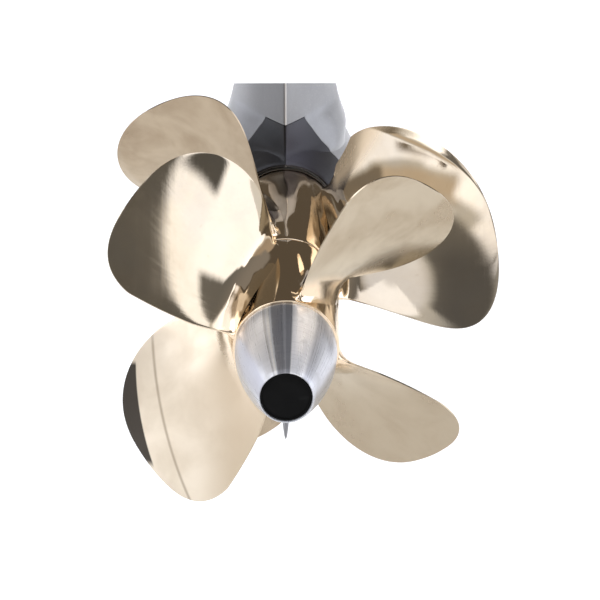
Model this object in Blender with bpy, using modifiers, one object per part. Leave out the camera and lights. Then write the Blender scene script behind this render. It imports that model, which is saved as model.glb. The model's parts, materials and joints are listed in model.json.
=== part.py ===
"""Contra-rotating boat propeller set on the lower end of its drive unit.

Two bronze propellers turn opposite ways on concentric shafts. The hollow outer shaft carries the
front, three-blade, left-handed propeller. The inner shaft runs through it and carries the rear,
four-blade, right-handed propeller and the tail cone. A vertical drive shaft turns both through a
bevel pinion that sits between two crown gears.

Units are metres, +Z is up and +Y is the way the boat goes. The shaft line is parallel to Y.
Stations called ..._y are measured forward from the flat end of the tail cone, and heights called
..._z from the shaft line. The frame's origin is a point on the inclined joint face of the leg.
"""

import math

import bmesh
import bpy
from mathutils import Matrix, Vector

# ---- driving dimensions ---------------------------------------------------------------------

GAP = 0.0003            # clearance left between pieces that touch
COLLECTION = "boat_propeller"

# tail cone
CONE_END_R = 0.0262
CONE_BASE_R = 0.0504
CONE_BASE_Y = 0.1120
CONE_WALL = 0.0070
CAP_R = 0.0248
CAP_DEPTH = 0.0095

# rear hub, front hub and the seam between them
AFT_HUB_Y = (0.1123, 0.2715)
AFT_HUB_R = (0.0526, 0.0550)
FRONT_HUB_Y = (0.2735, 0.4855)
FRONT_HUB_R = (0.0552, 0.0590)
AFT_BORE_R = 0.0360
FRONT_BORE_R = 0.0420

# shafts
INNER_SHAFT_R = 0.0140
INNER_JOURNAL_R = 0.0180
OUTER_SHAFT_R = 0.0265
OUTER_SHAFT_BORE_R = 0.0185
DRIVE_SHAFT_R = 0.0125

# bevel gears, all sharing one apex on the shaft line
GEAR_APEX_Y = 0.6000
CROWN_TEETH = 19
PINION_TEETH = 11
CROWN_PITCH_R = 0.0440
PINION_PITCH_R = CROWN_PITCH_R * PINION_TEETH / CROWN_TEETH
TOOTH_ADDENDUM = 0.0028
TOOTH_DEDENDUM = 0.0040
TOOTH_PITCH_WIDTH = 0.0052
TOOTH_TAPER = 0.45      # width lost per metre of height on each flank
TOOTH_INNER_SCALE = 0.70

# gear housing
HOUSING_END_Y = 0.4885
TORPEDO_R = 0.0860
TORPEDO_END_R = 0.0605
TORPEDO_MID_Y = 0.6100
NOSE_Y = 0.8300
MAIN_BORE_R = 0.0475
PINION_BORE_R = 0.0335
LEG_HALF_WIDTH = 0.0612
LEG_FRONT_Y = 0.7450
LEG_RIDGE_Y = 0.5080
JOINT_TILT = math.radians(17.7)
JOINT_RIDGE_Z = 0.1480   # height of the joint face at the leg's rear ridge
MOUNT_Y = 0.5400
COLLAR_FRONT_Y = 0.5380
COLLAR_TOP_Z = 0.0990
SPIGOT_R = 0.0562
SKEG_TIP_Z = -0.3350


def joint_height(y):
    """Height of the inclined joint face at station y."""
    return JOINT_RIDGE_Z - (y - LEG_RIDGE_Y) * math.tan(JOINT_TILT)


ORIGIN = Vector((0.0, MOUNT_Y, joint_height(MOUNT_Y)))

# ---- propellers -------------------------------------------------------------------------------

REAR_PROPELLER = {
    "blades": 4,
    "hand": 1.0,             # +1 is right-handed, seen from the rear
    "first_angle": math.radians(-44.4),
    "root_r": 0.0500,
    "tip_r": 0.2061,
    "inner_r": 0.0455,       # where the blade ends inside the hub wall
    "half_chord": 0.0762,
    "widening": 1.011,
    "tip_power": 1.150,
    "tip_fullness": 0.295,
    "sweep": (0.0239, -0.0357),
    "pitch": (0.847, 0.975),
    "rake": -0.119,
    "mid_y": 0.1931,
    "root_thickness": 0.0135,
    "tip_thickness": 0.0026,
    "forward_limit": (0.2660, 0.0560, 1.0, 0.2700),
}

FRONT_PROPELLER = {
    "blades": 3,
    "hand": -1.0,
    "first_angle": math.radians(-43.4),
    "root_r": 0.0540,
    "tip_r": 0.2254,
    "inner_r": 0.0490,
    "half_chord": 0.1127,
    "widening": 0.347,
    "tip_power": 3.000,
    "tip_fullness": 0.354,
    "sweep": (0.0799, -0.1138),
    "pitch": (1.253, 0.882),
    "rake": -0.328,
    "mid_y": 0.4005,
    "root_thickness": 0.0150,
    "tip_thickness": 0.0028,
    "forward_limit": (0.4835, 0.0620, 0.8, 0.4970),
}

HUB_SIDES = 36
BLADE_STATIONS = 10
CHORD_STEPS = 7
EDGE_THICKNESS = 0.0014


# ---- scene helpers ----------------------------------------------------------------------------

for old in list(bpy.data.objects):
    bpy.data.objects.remove(old, do_unlink=True)

parts = bpy.data.collections.new(COLLECTION)
cutters = bpy.data.collections.new(COLLECTION + "_cutters")
bpy.context.scene.collection.children.link(parts)
bpy.context.scene.collection.children.link(cutters)


def make_axis(name, offset=(0.0, 0.0, 0.0)):
    """An empty on a joint's axis, which its pieces are parented to."""
    empty = bpy.data.objects.new(name, None)
    empty.empty_display_size = 0.05
    empty.location = Vector(offset) - ORIGIN
    parts.objects.link(empty)
    return empty


housing_frame = make_axis("housing_frame")
front_axis = make_axis("front_propeller_axis")
rear_axis = make_axis("rear_propeller_axis")
drive_axis = make_axis("drive_shaft_axis", (0.0, GEAR_APEX_Y, 0.0))

materials = {}


def material(name, colour, metallic, roughness):
    """A plain Principled material, made once for each name."""
    if name not in materials:
        mat = bpy.data.materials.new(name)
        mat.use_nodes = True
        shader = mat.node_tree.nodes["Principled BSDF"]
        shader.inputs["Base Color"].default_value = (*colour, 1.0)
        shader.inputs["Metallic"].default_value = metallic
        shader.inputs["Roughness"].default_value = roughness
        mat.diffuse_color = (*colour, 1.0)
        materials[name] = mat
    return materials[name]


def bronze(name):
    return material(name, (0.62, 0.50, 0.36), 1.0, 0.18)


def steel(name):
    return material(name, (0.55, 0.56, 0.58), 1.0, 0.30)


def finish_piece(obj, parent, mat, cutter=False):
    """Put a piece in its collection, under its axis, with its material."""
    group = cutters if cutter else parts
    for owner in list(obj.users_collection):
        owner.objects.unlink(obj)
    group.objects.link(obj)
    obj.parent = parent
    if cutter:
        obj.hide_render = True
        obj.display_type = "WIRE"
    elif mat is not None:
        obj.data.materials.clear()
        obj.data.materials.append(mat)
    return obj


def smooth(mesh, degrees=32.0):
    mesh.shade_smooth()
    mesh.set_sharp_from_angle(angle=math.radians(degrees))


# A turned piece stands along its local Z. This turns local Z onto +Y, the shaft line.
ALONG_SHAFT = (-math.pi / 2.0, 0.0, 0.0)
UPRIGHT = (0.0, 0.0, 0.0)


def turned(name, profile, parent, mat=None, steps=32, rotation=ALONG_SHAFT, cutter=False):
    """Solid of revolution from (radius, station) points; a point at radius 0 is on the axis."""
    area = 0.0
    for (r0, s0), (r1, s1) in zip(profile, profile[1:] + profile[:1]):
        area += r0 * s1 - r1 * s0
    points = list(profile) if area < 0.0 else list(reversed(profile))
    on_axis = any(r == 0.0 for r, s in points)
    if on_axis:
        while not (points[0][0] == 0.0 and points[-1][0] == 0.0):
            points.append(points.pop(0))
    mesh = bpy.data.meshes.new(name)
    edges = [(i, i + 1) for i in range(len(points) - 1)]
    if not on_axis:
        edges.append((len(points) - 1, 0))
    mesh.from_pydata([(r, 0.0, s) for r, s in points], edges, [])
    obj = bpy.data.objects.new(name, mesh)
    obj.rotation_euler = rotation
    screw = obj.modifiers.new("turn", "SCREW")
    screw.axis = "Z"
    screw.angle = 2.0 * math.pi
    screw.steps = steps
    screw.render_steps = steps
    screw.use_merge_vertices = True
    screw.merge_threshold = 0.00001
    screw.use_smooth_shade = True
    return finish_piece(obj, parent, mat, cutter)


def ring(name, inner_r, outer_r, y0, y1, parent, mat, steps=32, chamfer=0.0, rotation=ALONG_SHAFT):
    """Plain ring between two stations, with an optional chamfer on its outer corners."""
    profile = [(inner_r, y0), (inner_r, y1)]
    if chamfer > 0.0:
        profile += [(outer_r - chamfer, y1), (outer_r, y1 - chamfer)]
        profile += [(outer_r, y0 + chamfer), (outer_r - chamfer, y0)]
    else:
        profile += [(outer_r, y1), (outer_r, y0)]
    return turned(name, profile, parent, mat, steps, rotation)


def box(name, low, high, parent, cutter=True):
    """Axis-aligned block between two corners."""
    mesh = bpy.data.meshes.new(name)
    bm = bmesh.new()
    bmesh.ops.create_cube(bm, size=1.0)
    size = [b - a for a, b in zip(low, high)]
    centre = [(a + b) / 2.0 for a, b in zip(low, high)]
    bmesh.ops.transform(
        bm, matrix=Matrix.Translation(centre) @ Matrix.Diagonal((*size, 1.0)), verts=bm.verts,
    )
    bm.to_mesh(mesh)
    bm.free()
    return finish_piece(bpy.data.objects.new(name, mesh), parent, None, cutter)


def cylinder(
    name, radius, low, high, parent, mat=None, sides=24, rotation=ALONG_SHAFT, cutter=False,
    at=(0.0, 0.0, 0.0),
):
    """Plain cylinder along local Z between two stations."""
    mesh = bpy.data.meshes.new(name)
    bm = bmesh.new()
    bmesh.ops.create_cone(
        bm, cap_ends=True, segments=sides, radius1=radius, radius2=radius, depth=high - low,
    )
    bmesh.ops.translate(bm, vec=(0.0, 0.0, (low + high) / 2.0), verts=bm.verts)
    bm.to_mesh(mesh)
    bm.free()
    obj = bpy.data.objects.new(name, mesh)
    obj.rotation_euler = rotation
    obj.location = at
    return finish_piece(obj, parent, mat, cutter)


def combine(obj, other, operation):
    """Boolean with the exact solver."""
    modifier = obj.modifiers.new(operation.lower() + "_" + other.name, "BOOLEAN")
    modifier.operation = operation
    modifier.object = other
    modifier.solver = "EXACT"


def loft(name, sections, parent, mat=None, cutter=False):
    """Closed skin through sections with equal numbers of points, flat at both ends."""
    mesh = bpy.data.meshes.new(name)
    bm = bmesh.new()
    rows = [[bm.verts.new(point) for point in section] for section in sections]
    count = len(rows[0])
    for lower, upper in zip(rows, rows[1:]):
        for i in range(count):
            j = (i + 1) % count
            bm.faces.new((lower[i], lower[j], upper[j], upper[i]))
    bm.faces.new(rows[0][::-1])
    bm.faces.new(rows[-1])
    bmesh.ops.triangulate(bm, faces=bm.faces[:])
    bmesh.ops.recalc_face_normals(bm, faces=bm.faces[:])
    bm.to_mesh(mesh)
    bm.free()
    smooth(mesh)
    return finish_piece(bpy.data.objects.new(name, mesh), parent, mat, cutter)


# ---- blades -----------------------------------------------------------------------------------


def blade_half_chord(spec, t):
    """Half of the chord at radius fraction t, full near mid-span and closing at the tip."""
    closing = max(0.0, 1.0 - t ** spec["tip_power"]) ** spec["tip_fullness"]
    return spec["half_chord"] * (1.0 + spec["widening"] * t) * closing


def blade_point(spec, turn, radius, along, off_face):
    """Point of a blade: 'along' runs to the leading edge, 'off_face' towards the suction side."""
    t = max(0.0, (radius - spec["root_r"]) / (spec["tip_r"] - spec["root_r"]))
    pitch = spec["pitch"][0] + (spec["pitch"][1] - spec["pitch"][0]) * t
    slope = math.atan(pitch / (2.0 * math.pi * radius))
    across = along * math.cos(slope) - off_face * math.sin(slope)
    angle = turn + spec["hand"] * across / radius
    y = spec["mid_y"] + spec["rake"] * (radius - spec["root_r"])
    y += along * math.sin(slope) + off_face * math.cos(slope)
    return Vector((radius * math.sin(angle), y, radius * math.cos(angle)))


def blade_section(spec, turn, radius):
    """Closed outline of the blade at one radius, leading edge first."""
    t = max(0.0, (radius - spec["root_r"]) / (spec["tip_r"] - spec["root_r"]))
    half = blade_half_chord(spec, t)
    middle = spec["sweep"][0] * t + spec["sweep"][1] * t * t
    pitch = spec["pitch"][0] + (spec["pitch"][1] - spec["pitch"][0]) * t
    slope = math.atan(pitch / (2.0 * math.pi * radius))
    start_y, start_r, rate, cap_y = spec["forward_limit"]
    limit_y = min(start_y + max(0.0, radius - start_r) * rate, cap_y)
    room = limit_y - spec["mid_y"] - spec["rake"] * (radius - spec["root_r"])
    front = min(middle + half, room / math.sin(slope))
    back = middle - half
    thick = spec["root_thickness"] + (spec["tip_thickness"] - spec["root_thickness"]) * t ** 0.8
    suction = []
    pressure = []
    for i in range(CHORD_STEPS + 1):
        share = 0.5 - 0.5 * math.cos(math.pi * i / CHORD_STEPS)
        along = front + (back - front) * share
        fullness = math.sin(math.pi * share) ** 0.75
        half_thick = 0.5 * (EDGE_THICKNESS + (thick - EDGE_THICKNESS) * fullness)
        suction.append(blade_point(spec, turn, radius, along, half_thick))
        pressure.append(blade_point(spec, turn, radius, along, -half_thick))
    return suction + pressure[::-1]


def blade(name, spec, turn, parent):
    """One blade, from inside the hub wall to a small tip section."""
    sections = [blade_section(spec, turn, spec["inner_r"])]
    span = spec["tip_r"] - spec["root_r"]
    for i in range(BLADE_STATIONS):
        t = math.sin(0.5 * math.pi * i / (BLADE_STATIONS - 1) * 0.965)
        sections.append(blade_section(spec, turn, spec["root_r"] + t * span))
    return loft(name, sections, parent, cutter=True)


def propeller(name, spec, hub_y, hub_r, bore_r, rear_pocket, front_pocket, parent, mat):
    """Hub with stepped bore, and its blades joined to it."""
    y0, y1 = hub_y
    r0, r1 = hub_r
    edge = 0.0025
    outer = [(r0 - edge, y0), (r0, y0 + edge)]
    for i in range(1, 4):
        f = i / 4.0
        outer.append((r0 + (r1 - r0) * f ** 1.3, y0 + (y1 - y0) * f))
    outer += [(r1, y1 - edge * 0.6), (r1 - edge * 0.6, y1)]
    inner = [
        (front_pocket[0], y1),
        (front_pocket[0], front_pocket[1]),
        (bore_r, front_pocket[1]),
        (bore_r, rear_pocket[1]),
        (rear_pocket[0], rear_pocket[1]),
        (rear_pocket[0], y0),
    ]
    hub = turned(name, outer + inner, parent, mat, steps=HUB_SIDES)
    for i in range(spec["blades"]):
        turn = spec["first_angle"] + 2.0 * math.pi * i / spec["blades"]
        combine(hub, blade("{}_blade_{}".format(name, i + 1), spec, turn, parent), "UNION")
    return hub


propeller(
    "front_propeller", FRONT_PROPELLER, FRONT_HUB_Y, FRONT_HUB_R, FRONT_BORE_R,
    (0.0460, 0.2980), (0.0480, 0.4652), front_axis, bronze("front_propeller_bronze"),
)
propeller(
    "aft_propeller", REAR_PROPELLER, AFT_HUB_Y, AFT_HUB_R, AFT_BORE_R,
    (0.0400, 0.1300), (0.0400, 0.2622), rear_axis, bronze("aft_propeller_bronze"),
)

# ---- tail cone --------------------------------------------------------------------------------


def cone_radius(y):
    """Ogive from the flat end to the base."""
    share = y / CONE_BASE_Y
    return CONE_END_R + (CONE_BASE_R - CONE_END_R) * math.sin(0.5 * math.pi * share) ** 0.92


cone_steps = 6
cone_outer = [(CONE_END_R - 0.0008, 0.0)]
for step in range(cone_steps + 1):
    station = 0.0008 + (CONE_BASE_Y - 0.0008) * step / cone_steps
    cone_outer.append((cone_radius(station), station))
cone_inner = [(cone_radius(CONE_BASE_Y) - CONE_WALL, CONE_BASE_Y)]
for step in range(1, 3):
    station = CONE_BASE_Y - (CONE_BASE_Y - 0.038) * step / 2.0
    cone_inner.append((cone_radius(station) - CONE_WALL, station))
cone_inner += [(0.0046, 0.038), (0.0046, 0.0240), (0.0130, 0.0240), (0.0130, 0.0110)]
cone_inner += [(CAP_R, 0.0110), (CAP_R, 0.0)]
turned(
    "tail_cone", cone_outer + cone_inner, rear_axis,
    material("tail_cone_metal", (0.60, 0.61, 0.64), 1.0, 0.25), 36,
)

cap_profile = [
    (0.0, 0.0012), (0.0190, 0.0014), (CAP_R - GAP, 0.0024), (CAP_R - GAP, CAP_DEPTH), (0.0, CAP_DEPTH),
]
turned(
    "end_cap", cap_profile, rear_axis, material("end_cap_plastic", (0.02, 0.02, 0.02), 0.0, 0.45), 32,
)

bolt_profile = [
    (0.0, 0.0135), (0.0085, 0.0135), (0.0085, 0.0237), (0.0042, 0.0237), (0.0042, 0.1180), (0.0, 0.1180),
]
cone_bolt = turned("cone_bolt", bolt_profile, rear_axis, steel("cone_bolt_steel"), 16)
combine(
    cone_bolt, cylinder("cone_bolt_socket", 0.0040, 0.0110, 0.0190, rear_axis, sides=6, cutter=True),
    "DIFFERENCE",
)

# ---- inner shaft and what turns with it ---------------------------------------------------------

inner_profile = [
    (0.0, 0.6790), (0.0140, 0.6790), (0.0140, 0.6690), (INNER_JOURNAL_R, 0.6690), (
        INNER_JOURNAL_R, 0.6160,
    ),
    (INNER_SHAFT_R, 0.6160), (INNER_SHAFT_R, 0.1310), (0.0120, 0.1290), (0.0120, 0.1020), (
        0.0110, 0.1000,
    ),
    (0.0045, 0.1000), (0.0045, 0.1220), (0.0, 0.1220),
]
turned("inner_shaft", inner_profile, rear_axis, steel("inner_shaft_steel"), 24)


def hex_nut(name, across_flats, bore_r, low, high, parent, mat, rotation=ALONG_SHAFT):
    """Hexagon nut with a plain bore."""
    nut = cylinder(name, across_flats / math.sqrt(3.0), low, high, parent, mat, 6, rotation)
    hole = cylinder(name + "_bore", bore_r, low - 0.002, high + 0.002, parent, None, 20, rotation, True)
    combine(nut, hole, "DIFFERENCE")
    return nut


def splined_sleeve(name, bore_r, outer_r, low, high, parent, mat):
    """Bronze-bushed sleeve between the shaft and the rubber bush, stepped at its front end."""
    profile = [(bore_r, low), (bore_r, high), (outer_r + 0.003, high), (outer_r + 0.003, high - 0.004)]
    profile += [(outer_r, high - 0.004), (outer_r, low)]
    return turned(name, profile, parent, mat, 24)


rubber = material("bush_rubber", (0.03, 0.03, 0.03), 0.0, 0.8)
hex_nut("aft_propeller_nut", 0.0380, 0.0123, 0.1135, 0.1270, rear_axis, steel("aft_nut_steel"))
ring("aft_tab_washer", 0.0123, 0.0250, 0.1274, 0.1290, rear_axis, steel("aft_tab_washer_steel"), 24)
splined_sleeve(
    "aft_spline_sleeve", INNER_SHAFT_R + GAP, 0.0240, 0.1312, 0.2618, rear_axis,
    bronze("aft_sleeve_bronze"),
)
ring("aft_rubber_bush", 0.0243, AFT_BORE_R - GAP, 0.1320, 0.2570, rear_axis, rubber, 24)
ring(
    "aft_thrust_washer", INNER_SHAFT_R + GAP, 0.0340, 0.2625, 0.2710, rear_axis,
    bronze("thrust_washer_bronze"), 24, 0.001,
)
ring(
    "forward_needle_bearing", INNER_SHAFT_R + GAP, OUTER_SHAFT_BORE_R - GAP, 0.5480, 0.5720, rear_axis,
    steel("needle_steel"), 24,
)

# ---- outer shaft and what turns with it ---------------------------------------------------------

outer_profile = [
    (OUTER_SHAFT_BORE_R, 0.2745), (OUTER_SHAFT_BORE_R, 0.5790), (OUTER_SHAFT_R, 0.5790), (
        OUTER_SHAFT_R, 0.2970,
    ),
    (0.0245, 0.2955), (0.0245, 0.2760), (0.0235, 0.2745),
]
turned("outer_shaft", outer_profile, front_axis, steel("outer_shaft_steel"), 24)
ring(
    "inner_shaft_seal", INNER_SHAFT_R + 0.0002, OUTER_SHAFT_BORE_R - GAP, 0.2760, 0.2830, front_axis,
    rubber, 24,
)
ring(
    "aft_needle_bearing", INNER_SHAFT_R + 0.0002, OUTER_SHAFT_BORE_R - GAP, 0.2860, 0.3120, front_axis,
    steel("needle_steel"), 24,
)
hex_nut("front_propeller_nut", 0.0700, 0.0252, 0.2757, 0.2925, front_axis, bronze("front_nut_bronze"))
ring(
    "front_tab_washer", 0.0248, 0.0410, 0.2930, 0.2950, front_axis, steel("front_tab_washer_steel"), 24,
)
splined_sleeve(
    "front_spline_sleeve", OUTER_SHAFT_R + GAP, 0.0315, 0.2985, 0.4645, front_axis,
    bronze("front_sleeve_bronze"),
)
ring("front_rubber_bush", 0.0318, FRONT_BORE_R - GAP, 0.3000, 0.4600, front_axis, rubber, 24)
ring(
    "front_thrust_ring", OUTER_SHAFT_R + GAP, 0.0450, 0.4660, 0.4845, front_axis,
    bronze("thrust_ring_bronze"), 24, 0.002,
)

# ---- bevel gears ----------------------------------------------------------------------------------


def bevel_gear(
    name, teeth, pitch_r, mate_r, bore_r, front_z, back_z, rim_r, phase, parent, mat, rotation, at,
):
    """Straight-tooth bevel gear with its apex at the local origin and its back at +Z."""
    cone = math.atan2(mate_r, pitch_r)
    rings = [[], [], [], [], []]
    for tooth in range(teeth):
        centre = phase + 2.0 * math.pi * tooth / teeth
        corners = (
            (-1.0, -TOOTH_DEDENDUM), (-1.0, TOOTH_ADDENDUM), (1.0, TOOTH_ADDENDUM),
            (1.0, -TOOTH_DEDENDUM),
        )
        for side, height in corners:
            radius = pitch_r + height * math.sin(cone)
            z = mate_r - height * math.cos(cone)
            half_width = 0.5 * TOOTH_PITCH_WIDTH - TOOTH_TAPER * height
            angle = centre + side * half_width / radius
            c, s = math.cos(angle), math.sin(angle)
            inner = TOOTH_INNER_SCALE
            rings[0].append((bore_r * c, bore_r * s, front_z))
            rings[1].append((inner * radius * c, inner * radius * s, inner * z))
            rings[2].append((radius * c, radius * s, z))
            rings[3].append((rim_r * c, rim_r * s, back_z))
            rings[4].append((bore_r * c, bore_r * s, back_z))
    mesh = bpy.data.meshes.new(name)
    bm = bmesh.new()
    rows = [[bm.verts.new(point) for point in row] for row in rings]
    count = len(rows[0])
    for lower, upper in zip(rows, rows[1:] + rows[:1]):
        for i in range(count):
            j = (i + 1) % count
            bm.faces.new((lower[i], lower[j], upper[j], upper[i]))
    bmesh.ops.triangulate(bm, faces=bm.faces[:])
    bmesh.ops.recalc_face_normals(bm, faces=bm.faces[:])
    bm.to_mesh(mesh)
    bm.free()
    obj = bpy.data.objects.new(name, mesh)
    obj.rotation_euler = rotation
    obj.location = at
    return finish_piece(obj, parent, mat)


quarter = math.pi / 2.0
apex = (0.0, GEAR_APEX_Y, 0.0)
gear_steel = steel("gear_steel")
# The pinion has a tooth on its rear side and a space on its front side. So the crown gear behind it
# has a space at the top, and the one ahead of it has a tooth there.
bevel_gear(
    "pinion_gear", PINION_TEETH, PINION_PITCH_R, CROWN_PITCH_R, DRIVE_SHAFT_R + GAP, 0.0305, 0.0530, 0.0215,
    -quarter, drive_axis, gear_steel, UPRIGHT, (0.0, 0.0, 0.0),
)
bevel_gear(
    "aft_crown_gear", CROWN_TEETH, CROWN_PITCH_R, PINION_PITCH_R, OUTER_SHAFT_R + GAP, 0.0215, 0.0400, 0.0410,
    quarter + math.pi / CROWN_TEETH, front_axis, gear_steel, (quarter, 0.0, 0.0), apex,
)
bevel_gear(
    "forward_crown_gear", CROWN_TEETH, CROWN_PITCH_R, PINION_PITCH_R,
    INNER_JOURNAL_R + GAP, 0.0185, 0.0400, 0.0410,
    -quarter, rear_axis, gear_steel, (-quarter, 0.0, 0.0), apex,
)

# ---- bearings -------------------------------------------------------------------------------------


def roller_set(name, bore_r, ring_r, track_r, low, high, count, parent, mat, rotation=ALONG_SHAFT):
    """Inner ring with its rollers; the rollers run in the outer ring's track."""
    inner = ring(name, bore_r, ring_r, low, high, parent, mat, 24, 0.0, rotation)
    roller_r = (track_r - ring_r) / 2.0
    middle_r = ring_r + roller_r - 0.0008
    mesh = bpy.data.meshes.new(name + "_rollers")
    bm = bmesh.new()
    for i in range(count):
        angle = 2.0 * math.pi * i / count
        place = Matrix.Translation(
            (middle_r * math.cos(angle), middle_r * math.sin(angle), (low + high) / 2.0),
        )
        bmesh.ops.create_cone(
            bm, cap_ends=True, segments=6, radius1=roller_r, radius2=roller_r,
            depth=(high - low) * 0.8, matrix=place,
        )
    bm.to_mesh(mesh)
    bm.free()
    rollers = bpy.data.objects.new(name + "_rollers", mesh)
    rollers.rotation_euler = rotation
    finish_piece(rollers, parent, None, True)
    combine(inner, rollers, "UNION")
    return inner


bearing_steel = steel("bearing_steel")
roller_set(
    "aft_bearing_rollers", OUTER_SHAFT_R + GAP, 0.0300, 0.0352, 0.5150, 0.5350, 12, front_axis,
    bearing_steel,
)
roller_set(
    "forward_bearing_rollers", INNER_JOURNAL_R + GAP, 0.0300, 0.0372, 0.6450, 0.6660, 12, rear_axis,
    bearing_steel,
)
roller_set(
    "pinion_bearing_rollers", DRIVE_SHAFT_R + GAP, 0.0205, 0.0262, 0.0580, 0.0780, 11, drive_axis,
    bearing_steel, UPRIGHT,
)
ring("aft_bearing_outer_ring", 0.0356, 0.0397, 0.5140, 0.5360, housing_frame, bearing_steel, 32)
ring(
    "forward_bearing_outer_ring", 0.0376, MAIN_BORE_R - GAP, 0.6440, 0.6690, housing_frame,
    bearing_steel, 32,
)
outer_ring = ring(
    "pinion_bearing_outer_ring", 0.0266, PINION_BORE_R - GAP, 0.0570, 0.0790, housing_frame,
    bearing_steel, 28, 0.0, UPRIGHT,
)
outer_ring.location = (0.0, GEAR_APEX_Y, 0.0)
retainer = ring(
    "pinion_bearing_retainer", 0.0225, PINION_BORE_R - GAP, 0.0795, 0.0850, housing_frame,
    steel("retainer_steel"), 28, 0.0, UPRIGHT,
)
retainer.location = (0.0, GEAR_APEX_Y, 0.0)
ring("forward_lock_nut", 0.0143, 0.0270, 0.6700, 0.6780, rear_axis, steel("lock_nut_steel"), 24, 0.001)

# ---- drive shaft ------------------------------------------------------------------------------------

drive_profile = [
    (0.0, 0.0970), (0.0095, 0.0970), (0.0105, 0.0960), (0.0105, 0.0870), (DRIVE_SHAFT_R, 0.0860),
    (DRIVE_SHAFT_R, 0.0300), (0.0090, 0.0290), (0.0090, 0.0185), (0.0, 0.0185),
]
turned("drive_shaft", drive_profile, drive_axis, steel("drive_shaft_steel"), 24, UPRIGHT)
hex_nut("pinion_nut", 0.0230, 0.0093, 0.0190, 0.0280, drive_axis, steel("pinion_nut_steel"), UPRIGHT)

# ---- bearing carrier and seal -------------------------------------------------------------------------

carrier_profile = [
    (0.0400, 0.5370), (0.0400, 0.5120), (0.0300, 0.5120), (0.0300, 0.5040), (0.0372, 0.5040), (
        0.0372, 0.4900,
    ),
    (0.0550, 0.4900), (0.0550, 0.4955), (0.0455, 0.4955), (0.0455, 0.4985), (0.0472, 0.4985), (
        0.0472, 0.5040,
    ),
    (0.0445, 0.5040), (0.0445, 0.5080), (0.0472, 0.5080), (0.0472, 0.5370),
]
carrier = turned(
    "bearing_carrier", carrier_profile, housing_frame,
    material("carrier_metal", (0.45, 0.46, 0.47), 1.0, 0.4), 28,
)
ring("carrier_o_ring", 0.0448, 0.0472, 0.5045, 0.5075, housing_frame, rubber, 32)
ring("outer_shaft_seal", OUTER_SHAFT_R + 0.0002, 0.0369, 0.4915, 0.5030, housing_frame, rubber, 28)

CARRIER_BOLT_CIRCLE_R = 0.0512
for number in range(4):
    angle = quarter * number + quarter / 2.0
    place = (CARRIER_BOLT_CIRCLE_R * math.sin(angle), 0.0, CARRIER_BOLT_CIRCLE_R * math.cos(angle))
    hole = cylinder(
        "carrier_bolt_hole_{}".format(number + 1), 0.0024, 0.4880, 0.5160, housing_frame, None, 12,
        ALONG_SHAFT, True, place,
    )
    pocket = cylinder(
        "carrier_bolt_seat_{}".format(number + 1), 0.0033, 0.4880, 0.4925, housing_frame, None, 12,
        ALONG_SHAFT, True, place,
    )
    combine(carrier, hole, "DIFFERENCE")
    combine(carrier, pocket, "DIFFERENCE")
    profile = [
        (0.0, 0.4903), (0.0030, 0.4903), (0.0030, 0.4922), (0.0021, 0.4922), (0.0021, 0.5140), (0.0, 0.5140),
    ]
    bolt = turned(
        "carrier_bolt_{}".format(number + 1), profile, housing_frame, steel("carrier_bolt_steel"), 12,
    )
    bolt.location = place

# ---- gear housing, with torpedo, leg and skeg -----------------------------------------------------------


def torpedo_radius(y):
    """Radius of the torpedo, from the open rear end to the round nose."""
    if y < TORPEDO_MID_Y:
        share = (y - HOUSING_END_Y) / (TORPEDO_MID_Y - HOUSING_END_Y)
        return TORPEDO_END_R + (TORPEDO_R - TORPEDO_END_R) * (1.0 - (1.0 - share) ** 2.0)
    share = (y - TORPEDO_MID_Y) / (NOSE_Y - TORPEDO_MID_Y)
    return TORPEDO_R * math.sqrt(max(0.0, 1.0 - share * share))


torpedo_profile = [(0.0, HOUSING_END_Y)]
for step in range(5):
    station = HOUSING_END_Y + (TORPEDO_MID_Y - HOUSING_END_Y) * step / 5.0
    torpedo_profile.append((torpedo_radius(station), station))
nose_steps = 9
for step in range(nose_steps):
    station = TORPEDO_MID_Y + (NOSE_Y - TORPEDO_MID_Y) * math.sin(0.5 * math.pi * step / nose_steps)
    torpedo_profile.append((torpedo_radius(station), station))
torpedo_profile.append((0.0, NOSE_Y))


def leg_section(z, ridge_y, half_width, fullness):
    """Horizontal outline of the leg: sharp rear ridge, straight flanks, rounded front."""
    widest_y = 0.6200
    right = []
    for i in range(7):
        share = i / 6.0
        y = ridge_y + (widest_y - ridge_y) * share
        right.append((half_width * (1.0 - (1.0 - share) ** fullness), y))
    for i in range(1, 6):
        turn = 0.5 * math.pi * i / 5.0
        y = widest_y + (LEG_FRONT_Y - widest_y) * math.sin(turn)
        right.append((half_width * math.cos(turn), y))
    right[-1] = (0.0, LEG_FRONT_Y)
    outline = [Vector((x, y, z)) for x, y in right]
    outline += [Vector((-x, y, z)) for x, y in right[-2:0:-1]]
    return outline


leg_levels = (
    (0.020, 0.5200, 0.0700, 2.40),
    (0.045, 0.4960, 0.0705, 2.60),
    (0.0575, HOUSING_END_Y + GAP, 0.0690, 2.86),
    (0.070, 0.5005, 0.0700, 2.38),
    (0.085, 0.5055, 0.0652, 1.86),
    (COLLAR_TOP_Z, LEG_RIDGE_Y, LEG_HALF_WIDTH, 1.35),
    (0.125, LEG_RIDGE_Y, 0.0563, 1.38),
    (0.165, LEG_RIDGE_Y, 0.0527, 1.42),
)
leg = loft("leg_solid", [leg_section(*level) for level in leg_levels], housing_frame, cutter=True)


def skeg_section(z, rear_y, front_y, half_thickness):
    """Lens-shaped horizontal outline of the skeg."""
    right = []
    for i in range(7):
        share = 0.5 - 0.5 * math.cos(math.pi * i / 6.0)
        right.append(
            (half_thickness * math.sin(math.pi * share) ** 0.7, rear_y + (front_y - rear_y) * share),
        )
    outline = [Vector((x, y, z)) for x, y in right]
    outline += [Vector((-x, y, z)) for x, y in right[-2:0:-1]]
    return outline


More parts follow.
